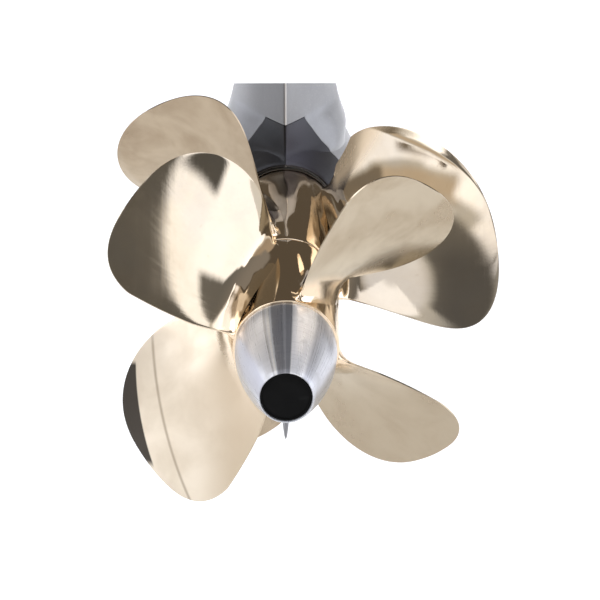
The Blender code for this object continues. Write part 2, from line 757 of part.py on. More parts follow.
skeg_levels = (
    (-0.050, 0.5600, 0.7600, 0.0090),
    (-0.085, 0.5560, 0.7550, 0.0075),
    (-0.170, 0.5640, 0.7300, 0.0060),
    (-0.250, 0.5740, 0.7050, 0.0050),
    (-0.300, 0.5850, 0.6900, 0.0044),
    (-0.322, 0.5960, 0.6800, 0.0038),
    (SKEG_TIP_Z, 0.6100, 0.6650, 0.0024),
)
skeg = loft("skeg_solid", [skeg_section(*level) for level in skeg_levels], housing_frame, cutter=True)

above_joint = box("above_joint_face", (-0.2, -0.4, 0.0), (0.2, 0.5, 0.3), housing_frame)
above_joint.location = ORIGIN
above_joint.rotation_euler = (-JOINT_TILT, 0.0, 0.0)


def casing(name, mat):
    """Outer form of the gear housing, before any bore is cut."""
    body = turned(name, torpedo_profile, housing_frame, mat, steps=40)
    combine(body, leg, "UNION")
    combine(body, skeg, "UNION")
    combine(body, above_joint, "DIFFERENCE")
    return body


housing = casing("gear_housing", material("housing_paint", (0.48, 0.49, 0.51), 0.3, 0.35))

collar_zone = box(
    "collar_zone", (-0.2, 0.47, -0.2), (0.2, COLLAR_FRONT_Y + GAP, COLLAR_TOP_Z + GAP), housing_frame,
)
combine(
    collar_zone,
    cylinder("spigot_core", SPIGOT_R, 0.45, 0.56, housing_frame, None, 48, ALONG_SHAFT, True),
    "DIFFERENCE",
)
combine(housing, collar_zone, "DIFFERENCE")

bore_profile = [
    (0.0, 0.4800), (0.0570, 0.4800), (0.0570, 0.4960), (MAIN_BORE_R, 0.4960), (MAIN_BORE_R, 0.6695),
    (0.0300, 0.6695), (0.0300, 0.6900), (0.0, 0.6900),
]
combine(
    housing, turned("main_bore", bore_profile, housing_frame, None, 40, ALONG_SHAFT, True),
    "DIFFERENCE",
)
pinion_bore = cylinder("pinion_bore", PINION_BORE_R, 0.0, 0.20, drive_axis, None, 36, UPRIGHT, True)
combine(housing, pinion_bore, "DIFFERENCE")
for number in range(4):
    angle = quarter * number + quarter / 2.0
    place = (CARRIER_BOLT_CIRCLE_R * math.sin(angle), 0.0, CARRIER_BOLT_CIRCLE_R * math.cos(angle))
    combine(
        housing,
        cylinder(
            "tapped_hole_{}".format(number + 1), 0.0024, 0.4900, 0.5160, housing_frame, None, 12,
            ALONG_SHAFT, True, place,
        ),
        "DIFFERENCE",
    )

# Dowels and tapped holes lie square to the inclined joint face.
JOINT_AXIS = (-JOINT_TILT, 0.0, 0.0)


def on_joint_face(x, y):
    return (x, y, joint_height(y))


for name, x, y in (("dowel_left", -0.0400, 0.6480), ("dowel_right", 0.0400, 0.6480)):
    combine(
        housing,
        cylinder(
            name + "_hole", 0.0040, -0.0150, 0.0100, housing_frame, None, 16, JOINT_AXIS, True,
            on_joint_face(x, y),
        ),
        "DIFFERENCE",
    )
    cylinder(
        name, 0.0037, -0.0140, -0.0005, housing_frame, steel("dowel_steel"), 16, JOINT_AXIS, False,
        on_joint_face(x, y),
    )
for number, (x, y) in enumerate(((-0.0380, 0.5900), (0.0380, 0.5900), (0.0, 0.6900))):
    where = on_joint_face(x * 1.12, y)
    combine(
        housing,
        cylinder(
            "joint_tapping_{}".format(number + 1), 0.0034, -0.0180, 0.0100, housing_frame, None, 12,
            JOINT_AXIS, True, where,
        ),
        "DIFFERENCE",
    )

# ---- two-part trim collar ---------------------------------------------------------------------------------

collar_plastic = material("collar_plastic", (0.05, 0.05, 0.055), 0.0, 0.35)
for name, low_x, high_x in (("collar_left", -0.2, -GAP / 2.0), ("collar_right", GAP / 2.0, 0.2)):
    half = casing(name, collar_plastic)
    side = box(
        name + "_zone", (low_x, 0.47, -0.2), (high_x, COLLAR_FRONT_Y, COLLAR_TOP_Z), housing_frame,
    )
    combine(half, side, "INTERSECT")
    core = cylinder(
        name + "_core", SPIGOT_R + GAP, 0.45, 0.56, housing_frame, None, 48, ALONG_SHAFT, True,
    )
    combine(half, core, "DIFFERENCE")
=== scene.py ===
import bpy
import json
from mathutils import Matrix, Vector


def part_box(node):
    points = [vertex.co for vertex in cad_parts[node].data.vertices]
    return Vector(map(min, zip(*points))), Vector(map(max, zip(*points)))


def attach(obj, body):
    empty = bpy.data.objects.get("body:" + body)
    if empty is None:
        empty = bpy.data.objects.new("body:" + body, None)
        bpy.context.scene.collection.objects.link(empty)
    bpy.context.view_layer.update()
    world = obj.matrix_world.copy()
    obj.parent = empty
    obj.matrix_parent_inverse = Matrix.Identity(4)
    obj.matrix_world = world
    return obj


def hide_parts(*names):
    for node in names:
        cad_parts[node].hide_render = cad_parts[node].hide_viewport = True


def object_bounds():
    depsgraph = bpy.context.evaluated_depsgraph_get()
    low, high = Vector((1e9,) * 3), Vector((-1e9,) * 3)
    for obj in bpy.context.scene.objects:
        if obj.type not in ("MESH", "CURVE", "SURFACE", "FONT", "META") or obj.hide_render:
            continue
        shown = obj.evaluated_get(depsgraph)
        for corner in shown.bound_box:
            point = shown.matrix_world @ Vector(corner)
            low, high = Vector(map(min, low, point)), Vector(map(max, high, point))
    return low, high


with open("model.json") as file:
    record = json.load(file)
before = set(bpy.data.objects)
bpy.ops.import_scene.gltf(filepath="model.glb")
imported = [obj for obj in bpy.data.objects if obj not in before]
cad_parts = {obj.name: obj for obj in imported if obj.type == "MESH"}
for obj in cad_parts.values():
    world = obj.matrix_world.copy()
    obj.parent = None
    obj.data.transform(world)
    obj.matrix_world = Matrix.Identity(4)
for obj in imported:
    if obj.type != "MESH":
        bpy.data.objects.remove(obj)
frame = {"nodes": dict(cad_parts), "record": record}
CAD_BOX = [list(corner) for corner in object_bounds()]

import json
import math

import bmesh
import bpy
import numpy as np
from mathutils import Matrix, Vector

# ---- stations, read from the frame ---------------------------------------------------------------
# The shaft line is parallel to Y. Stations are metres forward of the tail cone's flat end.

cone_low, cone_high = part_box("tail_cone")
SHAFT_Z = (cone_low.z + cone_high.z) / 2.0
END_Y = cone_low.y


def at(x, station, height):
    """A point given by its station and its height over the shaft line."""
    return Vector((x, END_Y + station, SHAFT_Z + height))


# ---- mesh helpers --------------------------------------------------------------------------------


def new_piece(name, verts, faces, body, nodes, mat, smooth_angle=None):
    """A fine piece that rides on a body and stands for some CAD nodes."""
    mesh = bpy.data.meshes.new(name)
    mesh.from_pydata([tuple(v) for v in verts], [], faces)
    mesh.validate()
    bm = bmesh.new()
    bm.from_mesh(mesh)
    bmesh.ops.recalc_face_normals(bm, faces=bm.faces)
    bm.to_mesh(mesh)
    bm.free()
    mesh.shade_smooth()
    if smooth_angle is not None:
        mesh.set_sharp_from_angle(angle=math.radians(smooth_angle))
    obj = bpy.data.objects.new(name, mesh)
    bpy.context.scene.collection.objects.link(obj)
    mesh.materials.append(mat)
    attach(obj, body)
    if nodes:
        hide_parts(*nodes)
    return obj


def grid_faces(rows, columns, start=0, wrap=True):
    """Quads of a grid of points stored row after row."""
    faces = []
    last = columns if wrap else columns - 1
    for i in range(rows - 1):
        for j in range(last):
            k = (j + 1) % columns
            a = start + i * columns
            b = a + columns
            faces.append((a + j, a + k, b + k, b + j))
    return faces


def lathe(profile, sides, closed):
    """Points and quads of a solid turned about the shaft line from (radius, station) points."""
    verts = []
    for radius, station in profile:
        for j in range(sides):
            angle = 2.0 * math.pi * j / sides
            verts.append(at(radius * math.sin(angle), station, radius * math.cos(angle)))
    faces = grid_faces(len(profile), sides)
    if closed:
        n = len(profile)
        for j in range(sides):
            k = (j + 1) % sides
            a = (n - 1) * sides
            faces.append((a + j, a + k, k, j))
    return verts, faces


# ---- propellers ----------------------------------------------------------------------------------
# The same blade rules as the CAD part, on a finer grid and with a fillet where each blade meets its hub.

REAR = {
    "blades": 4, "hand": 1.0, "first_angle": math.radians(-44.4),
    "root_r": 0.0500, "tip_r": 0.2061, "half_chord": 0.0762, "widening": 1.011,
    "tip_power": 1.150, "tip_fullness": 0.295, "sweep": (0.0239, -0.0357),
    "pitch": (0.847, 0.975), "rake": -0.119, "mid_y": 0.1931,
    "root_thickness": 0.0135, "tip_thickness": 0.0026,
    "forward_limit": (0.2660, 0.0560, 1.0, 0.2700),
    "hub_y": (0.1123, 0.2715), "hub_r": (0.0526, 0.0550), "fillet": 0.0190, "rim": 0.0012, "cup": 0.0,
    "bore": (0.0400, 0.2622, 0.0360, 0.1300, 0.0400),
}
FRONT = {
    "blades": 3, "hand": -1.0, "first_angle": math.radians(-43.4),
    "root_r": 0.0540, "tip_r": 0.2254, "half_chord": 0.1127, "widening": 0.347,
    "tip_power": 3.000, "tip_fullness": 0.354, "sweep": (0.0799, -0.1138),
    "pitch": (1.253, 0.882), "rake": -0.328, "mid_y": 0.4005,
    "root_thickness": 0.0150, "tip_thickness": 0.0028,
    "forward_limit": (0.4835, 0.0620, 0.8, 0.4970),
    "hub_y": (0.2735, 0.4855), "hub_r": (0.0552, 0.0560), "fillet": 0.0190, "rim": 0.0030, "cup": 0.0230,
    "bore": (0.0480, 0.4652, 0.0420, 0.2980, 0.0460),
}
EDGE_THICKNESS = 0.0014
CUP_START = 0.50         # share of the span where the leading edge begins to turn forward
CUP_SLOPE = 0.19
FLARE_PAST_FRONT = 0.3   # share of the root's flare that spreads past each edge of the blade
FLARE_PAST_BACK = 0.5
HUB_EDGE = 0.0010        # radius of the hub's aft edge
HUB_SIDES = 160
FILLET_ROWS = 10
BLADE_ROWS = 56
BLADE_COLUMNS = 32


def hub_radius(spec, y):
    """The hub's radius at a station: it widens a little toward its forward rim."""
    y0, y1 = spec["hub_y"]
    r0, r1 = spec["hub_r"]
    share = min(1.0, max(0.0, (y - y0) / (y1 - y0)))
    return r0 + (r1 - r0) * share ** 1.3


def blade_rows(spec, turn, rows, columns):
    """Rows of points round the blade's section, from under the hub's skin to the tip."""
    span = spec["tip_r"] - spec["root_r"]
    fillet = spec["fillet"]
    out = []
    radii = []
    base = spec["root_r"]
    # closely spaced through the fillet, then out to the tip
    for i in range(FILLET_ROWS):
        radii.append(base - 0.0010 + fillet * (i / FILLET_ROWS) ** 1.6)
    start_t = (radii[-1] + 0.002 - base) / span
    for i in range(rows):
        share = i / (rows - 1)
        t = start_t + (1.0 - start_t) * math.sin(0.5 * math.pi * share)
        radii.append(base + min(t, 0.9995) * span)
    for radius in radii:
        t = max(0.0, (radius - base) / span)
        closing = max(0.0, 1.0 - t ** spec["tip_power"]) ** spec["tip_fullness"]
        half = spec["half_chord"] * (1.0 + spec["widening"] * t) * closing
        middle = spec["sweep"][0] * t + spec["sweep"][1] * t * t
        pitch = spec["pitch"][0] + (spec["pitch"][1] - spec["pitch"][0]) * t
        slope = math.atan(pitch / (2.0 * math.pi * radius))
        start_y, start_r, rate, cap_y = spec["forward_limit"]
        limit_y = min(start_y + max(0.0, radius - start_r) * rate, cap_y)
        room = limit_y - spec["mid_y"] - spec["rake"] * (radius - base)
        thick = spec["root_thickness"] + (spec["tip_thickness"] - spec["root_thickness"]) * t ** 0.8
        rise = min(fillet, max(0.0, radius - base))
        flare = fillet - math.sqrt(max(0.0, fillet * fillet - (fillet - rise) ** 2))
        if radius <= base:
            flare = fillet
        low_y = spec["hub_y"][0] + 0.0035 - spec["mid_y"] - spec["rake"] * (radius - base)
        front = min(middle + half + FLARE_PAST_FRONT * flare, room / math.sin(slope))
        back = max(middle - half - FLARE_PAST_BACK * flare, low_y / math.sin(slope))
        outward = min(1.0, max(0.0, (t - CUP_START) / (1.0 - CUP_START)))
        cup = spec["cup"] * math.sin(math.pi * outward) ** 0.8
        suction, pressure = [], []
        for i in range(columns + 1):
            share = 0.5 - 0.5 * math.cos(math.pi * i / columns)
            along = front + (back - front) * share
            fullness = math.sin(math.pi * share) ** 0.75
            half_thick = 0.5 * (EDGE_THICKNESS + (thick - EDGE_THICKNESS) * fullness)
            half_thick += flare * math.sin(math.pi * share) ** 0.5
            for side, store in ((1.0, suction), (-1.0, pressure)):
                off = side * half_thick + max(0.0, along - front + cup) * CUP_SLOPE
                across = along * math.cos(slope) - off * math.sin(slope)
                angle = turn + spec["hand"] * across / radius
                y = spec["mid_y"] + spec["rake"] * (radius - base)
                y += along * math.sin(slope) + off * math.cos(slope)
                if radius < base + fillet:
                    y = min(max(y, spec["hub_y"][0] + 0.0020), spec["hub_y"][1] - 0.0015)
                # the root follows the hub's own change of radius
                r = radius + (hub_radius(spec, y) - base) * (1.0 - t) ** 3
                store.append((r, angle, y))
        out.append(suction + pressure[::-1])
    return out


def build_propeller(name, spec, body, nodes, mat):
    """A turned hub with a stepped bore, and blades that run into it through their fillets."""
    y0, y1 = spec["hub_y"]
    r0, r1 = spec["hub_r"]
    rim = spec["rim"]
    outer = []
    for i in range(7):
        a = 0.5 * math.pi * i / 6.0
        outer.append((r0 - HUB_EDGE + HUB_EDGE * math.sin(a), y0 + HUB_EDGE - HUB_EDGE * math.cos(a)))
    for i in range(1, 30):
        y = y0 + HUB_EDGE + (y1 - y0 - HUB_EDGE - rim) * i / 30.0
        outer.append((hub_radius(spec, y), y))
    for i in range(9):
        a = 0.5 * math.pi * i / 8.0
        outer.append((r1 - rim + rim * math.cos(a), y1 - rim + rim * math.sin(a)))
    front_r, front_y, middle_r, back_y, back_r = spec["bore"]
    inner = [(front_r, y1), (front_r, front_y), (middle_r, front_y)]
    inner += [(middle_r, back_y), (back_r, back_y), (back_r, y0)]
    verts, faces = lathe(outer + inner, HUB_SIDES, True)
    for number in range(spec["blades"]):
        turn = spec["first_angle"] + 2.0 * math.pi * number / spec["blades"]
        rows = blade_rows(spec, turn, BLADE_ROWS, BLADE_COLUMNS)
        start = len(verts)
        columns = len(rows[0])
        for row in rows:
            for r, angle, y in row:
                verts.append(at(r * math.sin(angle), y, r * math.cos(angle)))
        faces += grid_faces(len(rows), columns, start)
        # the tip is closed between its two faces
        last = start + (len(rows) - 1) * columns
        for j in range(columns // 2 - 1):
            faces.append((last + j, last + j + 1, last + columns - 2 - j, last + columns - 1 - j))
    return new_piece(name, verts, faces, body, nodes, mat, 50.0)


# ---- tail cone and its end cap -------------------------------------------------------------------

CONE_END_R = 0.0262
CONE_BASE_R = 0.0504
CONE_BASE_Y = 0.1120
CONE_LIP = 0.0007        # radius of the cone's rounded end


def cone_radius(y):
    share = min(1.0, max(0.0, y / CONE_BASE_Y))
    return CONE_END_R + (CONE_BASE_R - CONE_END_R) * math.sin(0.5 * math.pi * share) ** 0.92


def rounded(cx, cy, radius, start, stop, steps):
    """Arc of (radius, station) points about a corner's centre; angles run from the station axis."""
    points = []
    for i in range(steps + 1):
        a = math.radians(start + (stop - start) * i / steps)
        points.append((cx + radius * math.sin(a), cy - radius * math.cos(a)))
    return points


def build_cone(mat):
    """The tail cone, hollow in front, with a recess for its cap and a hole for its bolt."""
    profile = [(0.0248, 0.0110), (0.0248, 0.0008), (0.0252, 0.0002)]
    profile += rounded(CONE_END_R - CONE_LIP, CONE_LIP, CONE_LIP, 0.0, 75.0, 6)
    for i in range(1, 48):
        y = CONE_LIP + (CONE_BASE_Y - 0.0006 - CONE_LIP) * i / 48.0
        profile.append((cone_radius(y), y))
    profile += [(CONE_BASE_R - 0.0001, CONE_BASE_Y - 0.0005), (CONE_BASE_R - 0.0006, CONE_BASE_Y)]
    profile += [(CONE_BASE_R - 0.0070, CONE_BASE_Y), (0.0420, 0.0900), (0.0360, 0.0600), (0.0290, 0.0380)]
    profile += [(0.0046, 0.0380), (0.0046, 0.0240), (0.0130, 0.0240), (0.0130, 0.0110)]
    verts, faces = lathe(profile, 180, True)
    return new_piece(
        "tail_cone_fine", verts, faces, "aft_propeller_set", ["tail_cone"], mat, 40.0
    )


def build_cap(mat):
    """The end cap: a slightly crowned disc with a fine groove inside its rim."""
    profile = [(0.0, 0.0014), (0.0060, 0.0014), (0.0140, 0.0015), (0.0212, 0.0017), (0.0219, 0.0022)]
    profile += [(0.0223, 0.0022), (0.0229, 0.0015), (0.0240, 0.0016), (0.0245, 0.0022), (0.0245, 0.0094)]
    profile += [(0.0, 0.0094)]
    verts, faces = lathe(profile, 120, False)
    return new_piece(
        "end_cap_fine", verts, faces, "aft_propeller_set", ["end_cap"], mat, 40.0
    )


# ---- gear housing and collar ---------------------------------------------------------------------

HOUSING_END_Y = 0.4885
TORPEDO_R = 0.0860
TORPEDO_END_R = 0.0605
TORPEDO_MID_Y = 0.6100
NOSE_Y = 0.8300
GEAR_APEX_Y = 0.6000
LEG_RIDGE_Y = 0.5080
LEG_FRONT_Y = 0.7450
LEG_WIDEST_Y = 0.6200
RIDGE_RADIUS = 0.0026
RIDGE_TURN = 50.0
JOINT_TILT = math.radians(17.7)
JOINT_RIDGE_Z = 0.1480
COLLAR_FRONT_Y = 0.5380
COLLAR_TOP_Z = 0.0990
SPIGOT_R = 0.0562
RECESS_R = TORPEDO_END_R - 0.0018
MAIN_BORE_R = 0.0475
COUNTER_BORE_R = 0.0552
PINION_BORE_R = 0.0335
RECESS_END_Y = 0.4950
COUNTER_BORE_END_Y = 0.4960
MAIN_BORE_END_Y = 0.6695
CUT_START_Y = 0.46       # every cut from behind starts clear of the casing's aft end
CUT_SIDES = 96
SEAM_GAP = 0.0007        # between the collar and the housing
SPLIT_GAP = 0.00018      # from the middle plane to each half of the collar
EDGE_BEVEL = 0.0010
# x and station on the joint face, radius and depth: two dowel holes and three bolt holes
JOINT_HOLES = (
    (-0.0400, 0.6480, 0.0040, 0.015), (0.0400, 0.6480, 0.0040, 0.015),
    (-0.04256, 0.5900, 0.0034, 0.018), (0.04256, 0.5900, 0.0034, 0.018), (0.0, 0.6900, 0.0034, 0.018),
)


def joint_height(y):
    return JOINT_RIDGE_Z - (y - LEG_RIDGE_Y) * math.tan(JOINT_TILT)


def torpedo_radius(y):
    if y < TORPEDO_MID_Y:
        share = (y - HOUSING_END_Y) / (TORPEDO_MID_Y - HOUSING_END_Y)
        return TORPEDO_END_R + (TORPEDO_R - TORPEDO_END_R) * (1.0 - (1.0 - share) ** 2.0)
    share = (y - TORPEDO_MID_Y) / (NOSE_Y - TORPEDO_MID_Y)
    return TORPEDO_R * math.sqrt(max(0.0, 1.0 - share * share))


def smooth_levels(levels, count):
    """Catmull-Rom curve through rows of numbers, evenly spaced in the first of them."""
    rows = [np.array(row, float) for row in levels]
    out = []
    heights = np.linspace(rows[0][0], rows[-1][0], count)
    for height in heights:
        i = 0
        while i < len(rows) - 2 and height > rows[i + 1][0]:
            i += 1
        p1, p2 = rows[i], rows[i + 1]
        p0 = rows[i - 1] if i > 0 else p1 - (p2 - p1)
        p3 = rows[i + 2] if i + 2 < len(rows) else p2 + (p2 - p1)
        span = p2[0] - p1[0]
        m1 = (p2 - p0) / max(p2[0] - p0[0], 1e-6) * span
        m2 = (p3 - p1) / max(p3[0] - p1[0], 1e-6) * span
        t = (height - p1[0]) / span
        value = (2 * t**3 - 3 * t**2 + 1) * p1 + (t**3 - 2 * t**2 + t) * m1
        value += (-2 * t**3 + 3 * t**2) * p2 + (t**3 - t**2) * m2
        value[0] = height
        out.append(value)
    return out


def temporary(name, verts, faces):
    """A working object that is cut with or cut up, and then removed."""
    mesh = bpy.data.meshes.new(name)
    mesh.from_pydata([tuple(v) for v in verts], [], faces)
    bm = bmesh.new()
    bm.from_mesh(mesh)
    bmesh.ops.recalc_face_normals(bm, faces=bm.faces)
    bm.to_mesh(mesh)
    bm.free()
    obj = bpy.data.objects.new(name, mesh)
    bpy.context.scene.collection.objects.link(obj)
    return obj


def loft(name, rows):
    """Closed solid through rows of points, all with the same count."""
    count = len(rows[0])
    verts = [v for row in rows for v in row]
    faces = grid_faces(len(rows), count)
    faces.append(tuple(range(count))[::-1])
    faces.append(tuple(range((len(rows) - 1) * count, len(rows) * count)))
    return temporary(name, verts, faces)


def slab(name, low, high):
    """Box between two corners, each an x, a station and a height."""
    corners = [(x, y, z) for z in (low[2], high[2]) for y in (low[1], high[1]) for x in (low[0], high[0])]
    faces = [(0, 1, 3, 2), (4, 6, 7, 5), (0, 4, 5, 1), (1, 5, 7, 3), (3, 7, 6, 2), (2, 6, 4, 0)]
    return temporary(name, [at(*c) for c in corners], faces)


def rod(name, start, direction, length, radius, sides):
    """Closed cylinder from a point along a direction."""
    axis = Vector(direction).normalized()
    side = axis.orthogonal().normalized()
    other = axis.cross(side)
    rows = []
    for step in (0.0, length):
        row = []
        for j in range(sides):
            a = 2.0 * math.pi * j / sides
            row.append(Vector(start) + axis * step + (side * math.cos(a) + other * math.sin(a)) * radius)
        rows.append(row)
    return loft(name, rows)


def bore(name, end_y, radius, start_y=CUT_START_Y):
    """Round cut about the shaft line, from behind the casing to a station."""
    return rod(name, at(0.0, start_y, 0.0), (0.0, 1.0, 0.0), end_y - start_y, radius, CUT_SIDES)


def boolean(obj, others, operation):
    for other in others:
        modifier = obj.modifiers.new(operation, "BOOLEAN")
        modifier.operation = operation
        modifier.object = other
        modifier.solver = "EXACT"


def bake(obj):
    """The evaluated mesh of a temporary object, as plain lists."""
    graph = bpy.context.evaluated_depsgraph_get()
    mesh = bpy.data.meshes.new_from_object(obj.evaluated_get(graph))
    verts = [v.co.copy() for v in mesh.vertices]
    faces = [tuple(p.vertices) for p in mesh.polygons]
    bpy.data.meshes.remove(mesh)
    return verts, faces


# height over the shaft line, station of the rear ridge, half width, fullness of the flanks
LEG_LEVELS = (
    (0.020, 0.5200, 0.0700, 2.40),
    (0.045, 0.4960, 0.0705, 2.60),
    (0.0575, HOUSING_END_Y + 0.0003, 0.0690, 2.86),
    (0.070, 0.5005, 0.0700, 2.38),
    (0.085, 0.5055, 0.0652, 1.86),
    (COLLAR_TOP_Z, LEG_RIDGE_Y, 0.0612, 1.35),
    (0.125, LEG_RIDGE_Y, 0.0563, 1.38),
    (0.165, LEG_RIDGE_Y, 0.0527, 1.42),
)
# height over the shaft line, stations of the rear and front edges, half thickness
SKEG_LEVELS = (
    (-0.335, 0.6100, 0.6650, 0.0024),
    (-0.322, 0.5960, 0.6800, 0.0038),
    (-0.300, 0.5850, 0.6900, 0.0044),
    (-0.250, 0.5740, 0.7050, 0.0050),
    (-0.170, 0.5640, 0.7300, 0.0060),
    (-0.085, 0.5560, 0.7550, 0.0075),
    (-0.050, 0.5600, 0.7600, 0.0090),
)


def leg_row(z, ridge_y, half_width, fullness):
    """Outline of the leg at one height: a rounded ridge, full flanks and an elliptical nose."""
    right = []
    for i in range(8):
        turn = math.radians(RIDGE_TURN) * i / 7.0
        right.append((RIDGE_RADIUS * math.sin(turn), ridge_y + RIDGE_RADIUS * (1.0 - math.cos(turn))))
    start_x, start_y = right[-1]
    for i in range(1, 41):
        share = i / 40.0
        y = start_y + (LEG_WIDEST_Y - start_y) * share
        width = start_x + (half_width - start_x) * (1.0 - (1.0 - share) ** fullness)
        right.append((width, y))
    for i in range(1, 31):
        turn = 0.5 * math.pi * i / 30.0
        y = LEG_WIDEST_Y + (LEG_FRONT_Y - LEG_WIDEST_Y) * math.sin(turn)
        right.append((half_width * math.cos(turn), y))
    right[-1] = (0.0, LEG_FRONT_Y)
    return [at(x, y, z) for x, y in right] + [at(-x, y, z) for x, y in right[-2:0:-1]]


def skeg_row(z, rear_y, front_y, half_thickness):
    """Outline of the skeg at one height, sharp at both ends."""
    right = []
    for i in range(31):
        share = 0.5 - 0.5 * math.cos(math.pi * i / 30.0)
        right.append((half_thickness * math.sin(math.pi * share) ** 0.6, rear_y + (front_y - rear_y) * share))
    right[0] = (0.0, rear_y)
    right[-1] = (0.0, front_y)
    return [at(x, y, z) for x, y in right] + [at(-x, y, z) for x, y in right[-2:0:-1]]


def torpedo_solid():
    """The round gearcase that the leg stands on."""
    profile = [(0.0, HOUSING_END_Y)]
    profile += [(TORPEDO_END_R - 0.0010, HOUSING_END_Y), (TORPEDO_END_R, HOUSING_END_Y + 0.0010)]
    for i in range(1, 40):
        y = HOUSING_END_Y + (TORPEDO_MID_Y - HOUSING_END_Y) * i / 40.0
        profile.append((torpedo_radius(y), y))
    for i in range(50):
        y = TORPEDO_MID_Y + (NOSE_Y - TORPEDO_MID_Y) * math.sin(0.5 * math.pi * i / 50.0)
        profile.append((torpedo_radius(y), y))
    profile.append((0.0, NOSE_Y))
    verts = []
    sides = 144
    inner = profile[1:-1]
    for radius, station in inner:
        for j in range(sides):
            a = 2.0 * math.pi * j / sides
            verts.append(at(radius * math.sin(a), station, radius * math.cos(a)))
    faces = grid_faces(len(inner), sides)
    faces.append(tuple(range(sides)))
    tip = len(verts)
    verts.append(at(0.0, NOSE_Y, 0.0))
    last = (len(inner) - 1) * sides
    for j in range(sides):
        faces.append((last + j, last + (j + 1) % sides, tip))
    return temporary("torpedo", verts, faces)


def build_casing(housing_mat, face_mat, collar_mat):
    """Gear housing and the two halves of its collar, cut from one shape so that they meet flush."""
    leg = loft("leg", [leg_row(*row) for row in smooth_levels(LEG_LEVELS, 70)])
    skeg = loft("skeg", [skeg_row(*row) for row in smooth_levels(SKEG_LEVELS, 60)])
    above = slab("above", (-0.2, -0.4, 0.0), (0.2, 0.5, 0.3))
    # the slab is moved so that its lower face is the inclined joint face
    pivot = at(0.0, 0.0, 0.0)
    place = Matrix.Translation(at(0.0, LEG_RIDGE_Y, JOINT_RIDGE_Z)) @ Matrix.Rotation(-JOINT_TILT, 4, "X")
    above.data.transform(place @ Matrix.Translation(-pivot))
    core = rod("core", at(0.0, 0.45, 0.0), (0.0, 1.0, 0.0), 0.11, SPIGOT_R, CUT_SIDES)
    recess = bore("recess", RECESS_END_Y, RECESS_R)
    main_bore = bore("main_bore", MAIN_BORE_END_Y, MAIN_BORE_R)
    counter = bore("counter", COUNTER_BORE_END_Y, COUNTER_BORE_R)
    apex = at(0.0, GEAR_APEX_Y, 0.0)
    pinion_bore = rod("pinion_bore", apex, (0.0, 0.0, 1.0), 0.20, PINION_BORE_R, CUT_SIDES)
    normal = Vector((0.0, math.sin(JOINT_TILT), math.cos(JOINT_TILT)))
    drilled = []
    for x, y, radius, depth in JOINT_HOLES:
        face = at(x, y, joint_height(y))
        drilled.append(rod("drilled", face - normal * depth, normal, depth + 0.02, radius, 32))
    half_seam = SEAM_GAP / 2.0
    far_corner = (0.2, COLLAR_FRONT_Y + half_seam, COLLAR_TOP_Z + half_seam)
    zone_cut = slab("zone_cut", (-0.2, CUT_START_Y, -0.2), far_corner)
    boolean(zone_cut, [core], "DIFFERENCE")

    def casing():
        body = torpedo_solid()
        boolean(body, [leg, skeg], "UNION")
        boolean(body, [above], "DIFFERENCE")
        return body

    body = casing()
    boolean(body, [zone_cut, main_bore, counter, recess, pinion_bore] + drilled, "DIFFERENCE")
    scrap = [body, leg, skeg, above, core, recess, zone_cut, main_bore, counter, pinion_bore] + drilled
    pieces = [("gear_housing_fine", bake(body), ["gear_housing"], "housing_paint", housing_mat)]
    for name, low_x, high_x in (("left", -0.2, -SPLIT_GAP), ("right", SPLIT_GAP, 0.2)):
        half = casing()
        far_corner = (high_x, COLLAR_FRONT_Y - half_seam, COLLAR_TOP_Z - half_seam)
        side = slab("side", (low_x, CUT_START_Y, -0.2), far_corner)
        hollow = rod("hollow", at(0.0, 0.45, 0.0), (0.0, 1.0, 0.0), 0.11, SPIGOT_R + 0.0003, CUT_SIDES)
        boolean(half, [side], "INTERSECT")
        boolean(half, [hollow, recess], "DIFFERENCE")
        node = "collar_" + name
        pieces.append((node + "_fine", bake(half), [node], "collar_plastic", collar_mat))
        scrap += [half, side, hollow]
    for obj in scrap:
        bpy.data.objects.remove(obj)
    made = []
    for name, (verts, faces), nodes, slot, mat in pieces:
        obj = new_piece(name, verts, faces, "housing", nodes, mat, 28.0)
        bevel = obj.modifiers.new("edges", "BEVEL")
        bevel.width = EDGE_BEVEL
        bevel.segments = 3
        bevel.limit_method = "ANGLE"
        bevel.angle_limit = math.radians(34.0)
        bevel.harden_normals = False
        made.append(obj)
    # the joint face is bare machined metal
    housing = made[0]
    housing.data.materials.append(face_mat)
    joint_point = at(0.0, LEG_RIDGE_Y, JOINT_RIDGE_Z)
    for polygon in housing.data.polygons:
        if polygon.normal.dot(normal) > 0.999 and abs((polygon.center - joint_point).dot(normal)) < 0.0002:
            polygon.material_index = 1
    return made


# ---- materials -----------------------------------------------------------------------------------
# Every material is procedural, in the object's own coordinates, with colour, roughness and relief.


